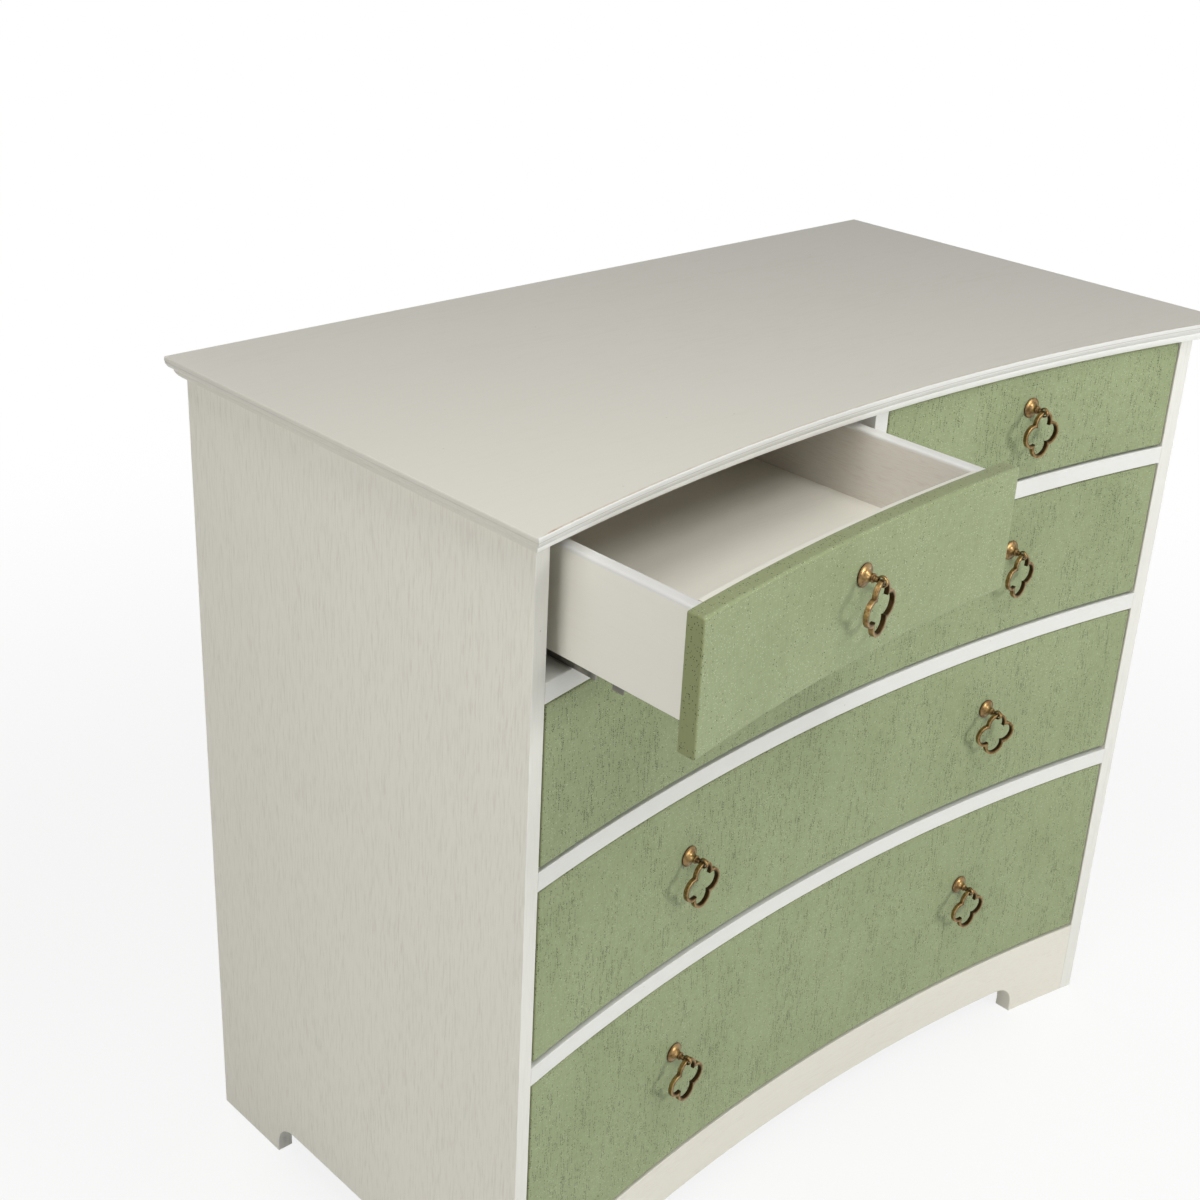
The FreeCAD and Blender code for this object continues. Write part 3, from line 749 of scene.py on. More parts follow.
        # Painted shade darkens the ends and upper edge, where the cloth folds round the board.
        colour = bench.blend(fold * self.fold_strength, colour, self.fold)
        colour = bench.blend(holes, colour, self.gap)
        colour = bench.blend(lights * self.speck_strength, colour, self.speck)
        cloth = weave * self.weave_height + warp * self.warp_height + weft * self.weft_height
        height = cloth - holes * self.hole_dip + lights * self.speck_height
        rough = holes * self.hole_dullness - lights * self.speck_shine + self.roughness
        bench.surface(Base_Color=colour, Roughness=rough, Specular_IOR_Level=self.gloss,
                      Normal=bench.relief(height, self.weave_depth))
        return bench.owner


@dataclass(frozen=True)
class AgedBrass:
    """Antique brass: warm metal, browned in its hollows and rubbed bright elsewhere, with painted shade and
    reflection darkening its inner walls.
    """

    name: str = "aged_brass"
    bright: Triple = linear(157, 130, 87)
    brown: Triple = linear(98, 71, 41)
    dark: Triple = linear(46, 31, 13)
    roughness: float = 0.26
    patch_dullness: float = 0.16
    recess_dullness: float = 0.2
    patches_per_metre: float = 210.0
    brown_cut: Pair = (0.40, 0.66)
    brown_strength: float = 0.75
    dark_strength: float = 0.9
    scratch_waves: Triple = (1500.0, 1500.0, 400.0)
    scratch_shift: Triple = (3.0, 1.0, 6.0)
    scratch_depth: float = 0.03 * MM

    def material(self) -> bpy.types.Material:
        """Brown patches come from noise; a mark on the points turns the metal dark: patina in the hollows,
        and painted shade and reflection on the ring's inner walls and the post's base and neck.

        Returns:
            The brass's material.
        """
        bench = Bench(bpy.data.materials.new(self.name))
        patches = bench.noise(bench.in_piece((self.patches_per_metre,) * 3), detail=3.0, rough=0.65)
        scratches = bench.noise(bench.in_piece(self.scratch_waves, self.scratch_shift))
        # Patina in the hollows, and painted shade and reflection on inner walls, darken the metal here.
        patina_and_shade = bench.mark("patina_and_shade")
        colour = bench.blend(patches.rise(*self.brown_cut) * self.brown_strength, self.bright, self.brown)
        colour = bench.blend(patina_and_shade * self.dark_strength, colour, self.dark)
        rough = patches * self.patch_dullness + patina_and_shade * self.recess_dullness + self.roughness
        bench.surface(Base_Color=colour, Metallic=1.0, Roughness=rough,
                      Normal=bench.relief(scratches, self.scratch_depth))
        return bench.owner


@dataclass(frozen=True)
class ZincSteel:
    """Zinc plated slide steel with a faint drawn grain along its length."""

    name: str = "zinc_steel"
    pale: Triple = linear(158, 156, 148)
    dull: Triple = linear(116, 114, 107)
    roughness: float = 0.26
    grain_dullness: float = 0.2
    grain_waves: Triple = (1400.0, 14.0, 1400.0)
    grain_depth: float = 0.02 * MM
    spangles_per_metre: float = 60.0
    spangle_cut: Pair = (0.35, 0.65)

    def material(self) -> bpy.types.Material:
        """Drawn grain is noise stretched along y, and the spangle is a coarser noise.

        Returns:
            The steel's material.
        """
        bench = Bench(bpy.data.materials.new(self.name))
        drawn = bench.noise(bench.in_piece(self.grain_waves))
        spangle = bench.noise(bench.in_piece((self.spangles_per_metre,) * 3)).rise(*self.spangle_cut)
        bench.surface(Base_Color=bench.blend(spangle, self.pale, self.dull), Metallic=1.0,
                      Roughness=drawn * self.grain_dullness + self.roughness,
                      Normal=bench.relief(drawn, self.grain_depth))
        return bench.owner


WHITE = linear(226, 223, 211)
WHITE_LINE = linear(203, 195, 182)
RAIL_WHITE = linear(226, 226, 222)
RAIL_LINE = linear(210, 208, 201)
# Darker copy of the white for the top and the moulding: painted shade for the weaker light on the top.
TOP_WHITE_PAINTED_SHADE = linear(213, 210, 199)
STILE_WHITE = linear(227, 226, 219)
# Darker copy of the box's white for the right drawer sides: painted shade on the inner face seen in the open
# drawer.
DEEP_WHITE_PAINTED_SHADE = linear(213, 208, 198)
BOX_WHITE = linear(220, 217, 206)
BOX_LINE = linear(197, 184, 172)
# Brighter, pinker copy of the white for the inside surfaces: painted light for the bounce light within the
# chest.
INSIDE_WHITE_PAINTED_LIGHT = linear(250, 241, 233)


@dataclass(frozen=True)
class Finishes:
    """Every material of the chest, made once."""

    upright: bpy.types.Material
    cross: bpy.types.Material
    deep: bpy.types.Material
    smooth: bpy.types.Material
    top: bpy.types.Material
    moulding: bpy.types.Material
    inside: bpy.types.Material
    rail: bpy.types.Material
    stile: bpy.types.Material
    plain: bpy.types.Material
    linen: bpy.types.Material
    brass: bpy.types.Material
    zinc: bpy.types.Material

    @classmethod
    def make(cls) -> "Finishes":
        """Make the materials; a paint's name without its first word is its field.

        Returns:
            All the finishes.
        """
        faint, even = 0.02 * MM, 0.03 * MM
        paints = (
            BrushedPaint("paint_upright", WHITE, WHITE_LINE, Grain.ALONG_Z, lines_per_metre=480.0,
                         line_length=0.021, line_strength=0.58, patchiness=0.35),
            BrushedPaint("paint_cross", WHITE, WHITE_LINE, Grain.ALONG_X, line_strength=0.3),
            # The right drawer sides take the darker box white as painted shade, and their top edges the
            # whiter rim colour as a painted highlight.
            BrushedPaint("paint_deep", DEEP_WHITE_PAINTED_SHADE, BOX_LINE, Grain.ALONG_Y, lines_per_metre=850.0,
                         line_length=0.016, line_strength=0.75),
            # The left drawer sides' top edges take a greyer rim colour: painted shade on their rounded tops.
            BrushedPaint("paint_smooth", BOX_WHITE, WHITE_LINE, Grain.ALONG_Y, line_strength=0.1,
                         line_depth=faint, rim=linear(212, 211, 207)),
            # The top's nose takes a whiter rim colour: partly the rails' paint, partly a painted highlight.
            BrushedPaint("paint_top", TOP_WHITE_PAINTED_SHADE, WHITE_LINE, Grain.ALONG_X, lines_per_metre=260.0,
                         line_strength=0.16, roughness=0.36, line_depth=even, gloss=0.06,
                         rim=linear(222, 222, 218)),
            # The moulding's front takes a near white rim colour: painted light for the bounce light on its
            # downward slope.
            BrushedPaint("paint_moulding", TOP_WHITE_PAINTED_SHADE, WHITE_LINE, Grain.ALONG_X, lines_per_metre=260.0,
                         line_strength=0.16, line_depth=even, gloss=0.06, rim=linear(250, 250, 247)),
            # Brighter inside white: painted light.
            BrushedPaint("paint_inside", INSIDE_WHITE_PAINTED_LIGHT, WHITE_LINE, Grain.ALONG_X, line_strength=0.1,
                         line_depth=faint),
            BrushedPaint("paint_rail", RAIL_WHITE, RAIL_LINE, Grain.ALONG_X, line_strength=0.2,
                         line_depth=even),
            BrushedPaint("paint_stile", STILE_WHITE, RAIL_LINE, Grain.ALONG_Z),
            BrushedPaint("paint_plain", WHITE, WHITE_LINE, Grain.ALONG_X, line_strength=0.12,
                         line_depth=faint),
        )
        painted = {paint.name.removeprefix("paint_"): paint.material() for paint in paints}
        return cls(**painted, linen=LacqueredLinen().material(), brass=AgedBrass().material(),
                   zinc=ZincSteel().material())


def dress(piece: bpy.types.Object, body: str, slot: str, material: bpy.types.Material, *nodes: str) -> None:
    """Give a piece its material and body.

    Args:
        piece: the finished piece.
        body: the body that it rides on.
        slot: the kind of material that it stands for; not used.
        material: its finish.
        nodes: the frame nodes that it replaces.
    """
    piece.data.materials.clear()
    piece.data.materials.append(material)
    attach(piece, body)
    if nodes:
        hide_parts(*nodes)
    LOG.info("%s rides on %s", piece.name, body)


def paint_node(node: str, material: bpy.types.Material) -> None:
    """Give a frame node that stays its finished material."""
    for place in frame["nodes"][node].material_slots:
        place.material = material


def paint_facing(piece: bpy.types.Object, way: Triple, material: bpy.types.Material) -> None:
    """Give the faces of a piece that look along a direction a finish of their own.

    Args:
        piece: the piece, which already has one finish.
        way: the direction, of length one.
        material: the second finish.
    """
    mesh = piece.data
    normals = np.zeros(len(mesh.polygons) * 3)
    mesh.polygons.foreach_get("normal", normals)
    mesh.materials.append(material)
    facing = normals.reshape(-1, 3) @ np.array(way) > FACING
    mesh.polygons.foreach_set("material_index", facing.astype(np.int32))


def eased_copy(node: str, name: str, ease: float) -> bpy.types.Object:
    """Copy a frame node's boards with their long edges eased.

    The copy's points are merged where they are equal, its flat faces are joined, and a bevel takes off the
    sharp edges.

    Args:
        node: the frame node.
        name: name of the new piece.
        ease: width of the bevel.

    Returns:
        The new piece.
    """
    weld_digits, flat, sharp = 6, math.radians(0.3), math.radians(30)
    source = frame["nodes"][node].data
    verts = np.zeros(len(source.vertices) * 3)
    source.vertices.foreach_get("co", verts)
    corners = np.zeros(len(source.loops), int)
    source.loops.foreach_get("vertex_index", corners)
    keys, back = np.unique(np.round(verts.reshape(-1, 3), weld_digits), axis=0, return_inverse=True)
    mesh = bpy.data.meshes.new(name)
    mesh.from_pydata(keys.tolist(), [], back.reshape(-1)[corners].reshape(-1, 3).tolist())
    work = bmesh.new()
    work.from_mesh(mesh)
    bmesh.ops.dissolve_limit(work, angle_limit=flat, verts=work.verts, edges=work.edges)
    work.to_mesh(mesh)
    work.free()
    mesh.polygons.foreach_set("use_smooth", np.ones(len(mesh.polygons), bool))
    piece = bpy.data.objects.new(name, mesh)
    bpy.context.scene.collection.objects.link(piece)
    bevel = piece.modifiers.new("eased_edges", "BEVEL")
    bevel.width = ease
    bevel.segments = 2
    bevel.limit_method = "ANGLE"
    bevel.angle_limit = sharp
    bevel.harden_normals = True
    return piece


# Sub-assemblies


@dataclass(frozen=True)
class Carcass:
    """Top, moulding, sides, rails and base."""

    front: HollowFront
    finishes: Finishes
    nose_radius: float = 1.2 * MM
    nose_height: float = 4.2 * MM
    nose_steps: int = 5
    groove: float = 0.8 * MM
    groove_bed: float = 0.6 * MM
    groove_lip: float = 0.4 * MM
    groove_foot: float = 1.2 * MM
    # Share of grey in the groove under the nose, more along the front.
    grime_share: float = 0.3
    front_grime: float = 0.4
    bevel: float = 7.5 * MM
    bevel_steps: int = 8
    bevel_swell: float = 1.0 * MM
    corner_ease: float = 0.5 * MM
    wear_reach: float = 70.0 * MM
    wear_share: float = 0.40
    corner_wear: float = 0.5
    moulding_lip: float = 3.2 * MM
    moulding_foot: float = 1.2 * MM
    moulding_swell: float = 1.3 * MM
    moulding_steps: int = 11
    crease: float = 0.2 * MM
    board_ease: float = 0.8 * MM
    rail_straight: float = 6.0 * MM
    rail_end: float = 0.05 * MM
    arc_stations: int = 65
    end_stations: int = 8
    body: str = "carcass"

    def outline(self, out: float, z: float, closed: bool = False) -> Array:
        """Plan outline that stands `out` proud of the carcass at the front and both ends, at height z.

        The ends are straight, the front follows the hollow curve, the back is straight, and each corner is
        cut by a tiny ease so that its two faces keep their own shading.

        Args:
            out: how far the outline stands proud.
            z: its height.
            closed: whether it also runs along the back.

        Returns:
            Points as rows of three values, from the left end of the back round to the right.
        """
        side_low, side_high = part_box("side_panel_left")
        reach, back_y = -side_low.x + out, side_high.y
        inner = reach - self.corner_ease
        xs = np.linspace(-inner, inner, self.arc_stations)
        arc = np.stack([xs, self.front.depth(xs, -out)], 1)
        corner_y = float(self.front.depth(np.array(reach), -out)) + self.corner_ease
        left_y = np.linspace(back_y - self.corner_ease, corner_y, self.end_stations)
        left = np.stack([np.full_like(left_y, -reach), left_y], 1)
        end = np.array([[-inner if closed else -reach, back_y]])
        turn = np.array([-1, 1])
        plan = np.concatenate([end, left, arc, left[::-1] * turn, end * turn])
        return np.concatenate([plan, np.full((len(plan), 1), z)], 1)

    def on_front(self) -> Array:
        """Tell the front's curve from the ends of an outline.

        Returns:
            One for the points that lie on the curve, zero for those on the ends.
        """
        points = len(self.outline(0.0, 0.0))
        place, end = np.arange(points), (points - self.arc_stations) // 2
        return ((place >= end) & (place < end + self.arc_stations)).astype(float)

    def build_top(self) -> None:
        """Top board: the plan outline drawn in and out along the profile of its edge.

        The profile is a crisp nose, an upright face, a fine groove, and a bevel that swells by a parabola of
        its length. The marks whiten the front edge, partly for the rails' whiter paint and partly as a
        painted highlight, grey the groove and wear the nose, most near the left front corner.
        """
        low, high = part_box("top_panel")
        proud = -low.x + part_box("side_panel_left")[0].x
        turn = np.linspace(0, math.pi / 2, self.nose_steps)
        nose = np.stack([proud - self.nose_radius * (1 - np.sin(turn)),
                         high.z - self.nose_radius * (1 - np.cos(turn))], 1)
        foot = high.z - self.nose_height
        face = np.array([[proud, foot + self.crease], [proud - self.groove, foot - self.groove_bed],
                         [proud - self.groove_lip, foot - self.groove_foot]])
        start, end = face[-1] - [0, self.crease], np.array([proud - self.bevel, low.z])
        along = np.linspace(0, 1, self.bevel_steps)[:, None]
        sideways = np.array([start[1] - end[1], end[0] - start[0]])
        bulge = self.bevel_swell * sideways / np.linalg.norm(end - start)
        bevel = start + along * (end - start) + 4 * along * (1 - along) * bulge
        profile = np.concatenate([[[nose[0, 0] - GUARD, high.z]], nose, face, bevel])
        rows = np.stack([self.outline(out, z, closed=True) for out, z in profile])
        place = np.arange(len(profile))
        groove = len(nose) + 2
        from_corner = rows[..., 0] - low.x
        fading = np.exp(-(from_corner / self.wear_reach) ** 2)
        wear = (self.wear_share + self.corner_wear * fading) * (from_corner > GUARD)
        front = self.on_front()
        # The rim mark whitens the front nose: partly the rails' paint, partly a painted highlight.
        marks = {"rim": np.outer(place > 1, front),
                 "grime": np.outer(place == groove, self.grime_share + self.front_grime * front),
                 "edge": np.isin(place, (1, 2))[:, None] * wear * front}
        piece = Shell(rows).build("top_board", marks)
        dress(piece, self.body, "painted_wood", self.finishes.top, "top_panel")
        # The underside takes the brighter inside white: painted light.
        paint_facing(piece, (0.0, 0.0, -1.0), self.finishes.inside)

    def build_moulding(self) -> None:
        """Bed moulding: the plan outline at each point of its section, open along the back.

        The section is a lip above a slope that swells by a parabola of its length, and its corners are
        creased.
        """
        low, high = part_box("bed_moulding")
        width, rise = -low.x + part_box("side_panel_left")[0].x, high.z - low.z
        lip, run = rise - self.moulding_lip, width - self.moulding_foot
        along = np.linspace(0, 1, self.moulding_steps)[1:-1]
        swell = 4 * along * (1 - along) * self.moulding_swell / math.hypot(run, lip)
        curve = np.stack([width - along * run + swell * lip, lip * (1 - along) - swell * run], 1)
        corners = np.array([[0, rise], [width, rise], [width, lip], [self.moulding_foot, 0], [0, 0]])
        pairs = creased(corners, self.crease)
        section = np.concatenate([pairs[:6], curve, pairs[6:]])
        rows = np.stack([self.outline(out, low.z + up) for out, up in section], 1)
        # The front of the moulding takes the near white rim colour: painted light.
        rim = np.repeat(self.on_front()[:, None], rows.shape[1], 1)
        piece = Shell(rows).build("bed_moulding_run", {"rim": rim})
        dress(piece, self.body, "painted_wood", self.finishes.moulding, "bed_moulding")

    def build_rails(self) -> None:
        """Curved rails: the face follows the hollow curve and the back is straight."""
        for node in ("rail_upper", "rail_middle", "rail_lower"):
            low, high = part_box(node)
            deep = high.y - float(self.front.depth(np.array(0.0)))

            def bend(run: Array, rise: Array, depth: Array, back_y: float = high.y,
                     deep: float = deep) -> Array:
                """Face on the hollow curve; behind its straight part the depth is shared out to the back.

                Args:
                    run, rise, depth: places along, up and into the rail.
                    back_y: the rail's straight back.
                    deep: the rail's depth at its middle.

                Returns:
                    The points in the frame.
                """
                face = self.front.depth(run)
                share = np.clip((depth - self.rail_straight) / (deep - self.rail_straight), 0, 1)
                straight = np.minimum(depth, self.rail_straight)
                behind = share * (back_y - face - self.rail_straight)
                return np.stack([run, face + straight + behind, rise], -1)

            board = Board((low.x, high.x), (low.z, high.z), (0.0, deep), (self.board_ease,) * 4,
                          self.rail_end, stations=self.arc_stations)
            piece = board.shell(bend).build(node + "_board")
            dress(piece, self.body, "painted_wood", self.finishes.rail, node)

    def build_flat(self) -> None:
        """Sides, partition and base, with eased edges, and the plain boards inside."""
        eased = {
            "side_panel_left": self.finishes.upright, "side_panel_right": self.finishes.upright,
            "apron": self.finishes.cross, "back_plinth": self.finishes.cross,
            "partition": self.finishes.rail,
        }
        for node, material in eased.items():
            piece = eased_copy(node, node + "_board", self.board_ease)
            dress(piece, self.body, "painted_wood", material, node)
            if node.startswith("side_panel"):
                paint_facing(piece, (0.0, -1.0, 0.0), self.finishes.stile)
        plain = {
            "back_panel": self.finishes.upright, "bottom_panel": self.finishes.cross,
            "top_rail": self.finishes.rail, "dust_panels": self.finishes.cross,
            "corner_blocks": self.finishes.upright, "centre_foot": self.finishes.upright,
            "cabinet_runners": self.finishes.zinc,
        }
        for node, material in plain.items():
            paint_node(node, material)

    def build(self) -> None:
        """Build and dress the whole carcass."""
        self.build_top()
        self.build_moulding()
        self.build_rails()
        self.build_flat()


@dataclass(frozen=True)
class Pull:
    """One pull: a turned post with an eye, and a four lobed ring that hangs in the eye."""

    name: str
    eye: Vector
    across: Vector
    out: Vector
    finishes: Finishes
    drawer_body: str
    ring_body: str
    standoff: float = 18.0 * MM
    lobe_offset: float = 12.7 * MM
    lobe_radius: float = 11.5 * MM
    strap: float = 3.4 * MM
    strap_depth: float = 4.6 * MM
    strap_round: float = 0.55 * MM
    strap_steps: int = 4
    wall_recess: float = 0.2
    cusp_start: float = 0.75
    cusp_recess: float = 0.55
    lobe_points: int = 25
    lobe_share: float = 0.94
    cusp_share: float = 0.995
    base_radius: float = 11.0 * MM
    base_seat: float = 0.05 * MM
    rim: float = 1.0 * MM
    rim_ease: float = 0.35 * MM
    bell_radius: float = 3.8 * MM
    bell_height: float = 8.5 * MM
    bell_points: int = 12
    collar: float = 1.4 * MM
    collar_swell: float = 0.63 * MM
    collar_points: int = 7
    neck_radius: float = 2.8 * MM
    neck_waist: float = 2.576 * MM
    neck_start: float = 0.2 * MM
    neck_end: float = 0.4 * MM
    neck_tip: float = 0.6 * MM
    post_turns: int = 48
    base_recess: float = 0.9
    bell_recess: float = 0.7
    bell_fall: int = 6
    collar_recess: float = 0.15
    neck_recess: float = 0.7
    eye_radius: float = 4.45 * MM
    eye_wire: float = 0.95 * MM
    eye_half: float = 1.8 * MM
    # The eye is darker on the inside of its loop: painted shade.
    eye_recess: float = 0.45
    eye_rubbed: float = 0.25
    eye_turns: int = 40
    wire_turns: int = 14
    screw_seat: float = 29.1 * MM
    screw_sink: float = 0.1 * MM
    screw_head: float = 4.2 * MM
    screw_rise: float = 2.6 * MM
    screw_points: int = 8
    screw_turns: int = 24

    @staticmethod
    def frame_of(across: Vector, out: Vector, origin: Vector) -> Matrix:
        """Matrix with local x across, local y up and local z out, about an origin."""
        return Matrix.Translation(origin) @ Matrix((across, UP, out)).transposed().to_4x4()

    def build_ring(self, width: Vector) -> bpy.types.Object:
        """Ring of strap: a round edged rectangle carried round four lobes.

        A point that lies `o` outside the strap's middle is on a lobe circle of radius r + o. Two neighbouring
        lobe circles meet where c = (d + sqrt(2 (r + o)^2 - d^2)) / 2 on both axes, so the lobe runs to the
        angle of (c - d, c) about its own centre, d being the lobe's offset.

        Args:
            width: the ring's width direction.

        Returns:
            The ring.
        """
        half, deep = self.strap / 2, self.strap_depth / 2
        section = rounded_section((-half, -deep), (half, deep), np.full(4, self.strap_round), 0.0,
                                  self.strap_steps)
        radius = self.lobe_radius + section[:, 0]
        cusp = (self.lobe_offset + np.sqrt(2 * radius ** 2 - self.lobe_offset ** 2)) / 2
        reach = np.arctan2(cusp, cusp - self.lobe_offset)
        middle = np.linspace(-self.lobe_share, self.lobe_share, self.lobe_points)
        share = np.concatenate([[-self.cusp_share], middle, [self.cusp_share]])
        angle = share[:, None] * reach[None, :]
        lobe = np.stack([self.lobe_offset + radius * np.cos(angle), radius * np.sin(angle)], -1)
        turns = np.arange(4) * math.pi / 2
        spin = np.stack([np.cos(turns), -np.sin(turns), np.sin(turns), np.cos(turns)], -1).reshape(-1, 2, 2)
        flat = np.einsum("tij,scj->tsci", spin, lobe).reshape(-1, len(section), 2)
        drop = self.lobe_offset + self.lobe_radius
        local = np.concatenate([flat - np.array([0, drop]),
                                np.broadcast_to(section[:, 1], flat.shape[:2])[..., None]], -1)
        place = self.frame_of(width, width.cross(UP), self.eye)
        # Painted shade and reflection: the strap's inner wall is dark, and the walls near the cusps too, with
        # patina there.
        outward = section[:, 0] / half
        inner = np.clip(self.wall_recess - (1 - self.wall_recess) * outward, 0, 1)
        cusps = np.tile(np.clip((np.abs(share) - self.cusp_start) / (1 - self.cusp_start), 0, 1), 4)
        on_wall = np.clip(2 * np.abs(outward) - 1, 0, 1)
        marks = {"patina_and_shade": np.maximum(inner[None, :], self.cusp_recess * cusps[:, None] * on_wall[None, :])}
        return Shell(moved(local, place), ring=True).build(self.name + "_ring_strap", marks)

    def build_post(self) -> list[bpy.types.Object]:
        """Turned post, the eye at its tip and the head of its screw inside the drawer.

        The profile is a flat base with an eased rim, a bell that is a quarter of an ellipse, a collar that is
        half of one, and a waisted neck. A dark mark, patina in the hollows and painted shade, is strong on
        the base and neck and at the ends of the bell.

        Returns:
            The post, the eye and the screw's head.
        """
        place = self.frame_of(self.across, self.out, self.eye - self.out * self.standoff)
        base, rim, ease, seat = self.base_radius, self.rim, self.rim_ease, self.base_seat
        turn = np.linspace(0, math.pi / 2, self.bell_points)
        flare, rise = base - self.bell_radius, self.bell_height - rim
        bell = np.stack([base - flare * np.sin(turn), self.bell_height - rise * np.cos(turn)], 1)
        top, tip = self.bell_height + self.collar, self.standoff - self.eye_radius
        bead = np.linspace(-math.pi / 2, math.pi / 2, self.collar_points)
        collar = np.stack([self.bell_radius + self.collar_swell * np.cos(bead),
                           self.bell_height + self.collar * (1 + np.sin(bead)) / 2], 1)
        start = np.array([[POLE, seat], [base - ease, seat], [base, ease], [base, rim - ease / 2]])
        neck = np.array([[self.neck_radius, top + self.neck_start], [self.neck_waist, (top + tip) / 2],
                         [self.neck_radius, tip + self.neck_end], [POLE, tip + self.neck_tip]])
        profile = np.concatenate([start, bell, collar, neck])
        bell_ends = np.abs(np.linspace(-1, 1, len(bell))) ** self.bell_fall
        # Patina in the hollows and painted shade on the base, the neck and the bell's ends.
        patina_and_shade = np.concatenate([np.full(len(start), self.base_recess), self.bell_recess * bell_ends,
                                 np.full(len(collar), self.collar_recess),
                                 np.full(len(neck), self.neck_recess)])
        marks = {"patina_and_shade": np.broadcast_to(patina_and_shade[:, None], (len(profile), self.post_turns))}
        post = lathe(profile, self.post_turns, place).build(self.name + "_post", marks)
        eye = self.build_eye(place)
        lift = np.linspace(0, math.pi / 2, self.screw_points)
        dome = np.stack([np.maximum(self.screw_head * np.cos(lift), POLE),
                         -self.screw_seat - self.screw_rise * np.sin(lift)], 1)
        screw = np.concatenate([[[POLE, self.screw_sink - self.screw_seat]], dome])
        bolt = lathe(screw, self.screw_turns, place).build(self.name + "_screw_head")
        return [post, eye, bolt]

    def build_eye(self, place: Matrix) -> bpy.types.Object:
        """Eye of the post: an oval wire section carried round a circle, in the plane of post and drop.

        Args:
            place: matrix of the post.

        Returns:
            The eye.
        """
        around = np.linspace(0, 2 * math.pi, self.eye_turns, endpoint=False)[:, None]
        wire = np.linspace(0, 2 * math.pi, self.wire_turns, endpoint=False)[None, :]
        grid = (self.eye_turns, self.wire_turns)
        reach = self.eye_radius + self.eye_wire * np.cos(wire)
        local = np.stack([np.broadcast_to(self.eye_half * np.sin(wire), grid),
                          reach * np.cos(around), reach * np.sin(around) + self.standoff], -1)
        # Darker on the inside of the loop: painted shade.
        marks = {"patina_and_shade": np.broadcast_to(self.eye_recess - self.eye_rubbed * np.cos(wire), grid)}
        return Shell(moved(local, place), ring=True).build(self.name + "_eye", marks)

    def build(self, width: Vector, post_node: str, ring_node: str) -> None:
        """Build and dress the pull.

        Args:
            width: the ring's width direction.
            post_node: frame node of the posts.
            ring_node: frame node of the ring.
        """
        for piece in self.build_post():
            dress(piece, self.drawer_body, "antique_brass", self.finishes.brass, post_node)
        ring = self.build_ring(width)
        dress(ring, self.ring_body, "antique_brass", self.finishes.brass, ring_node)


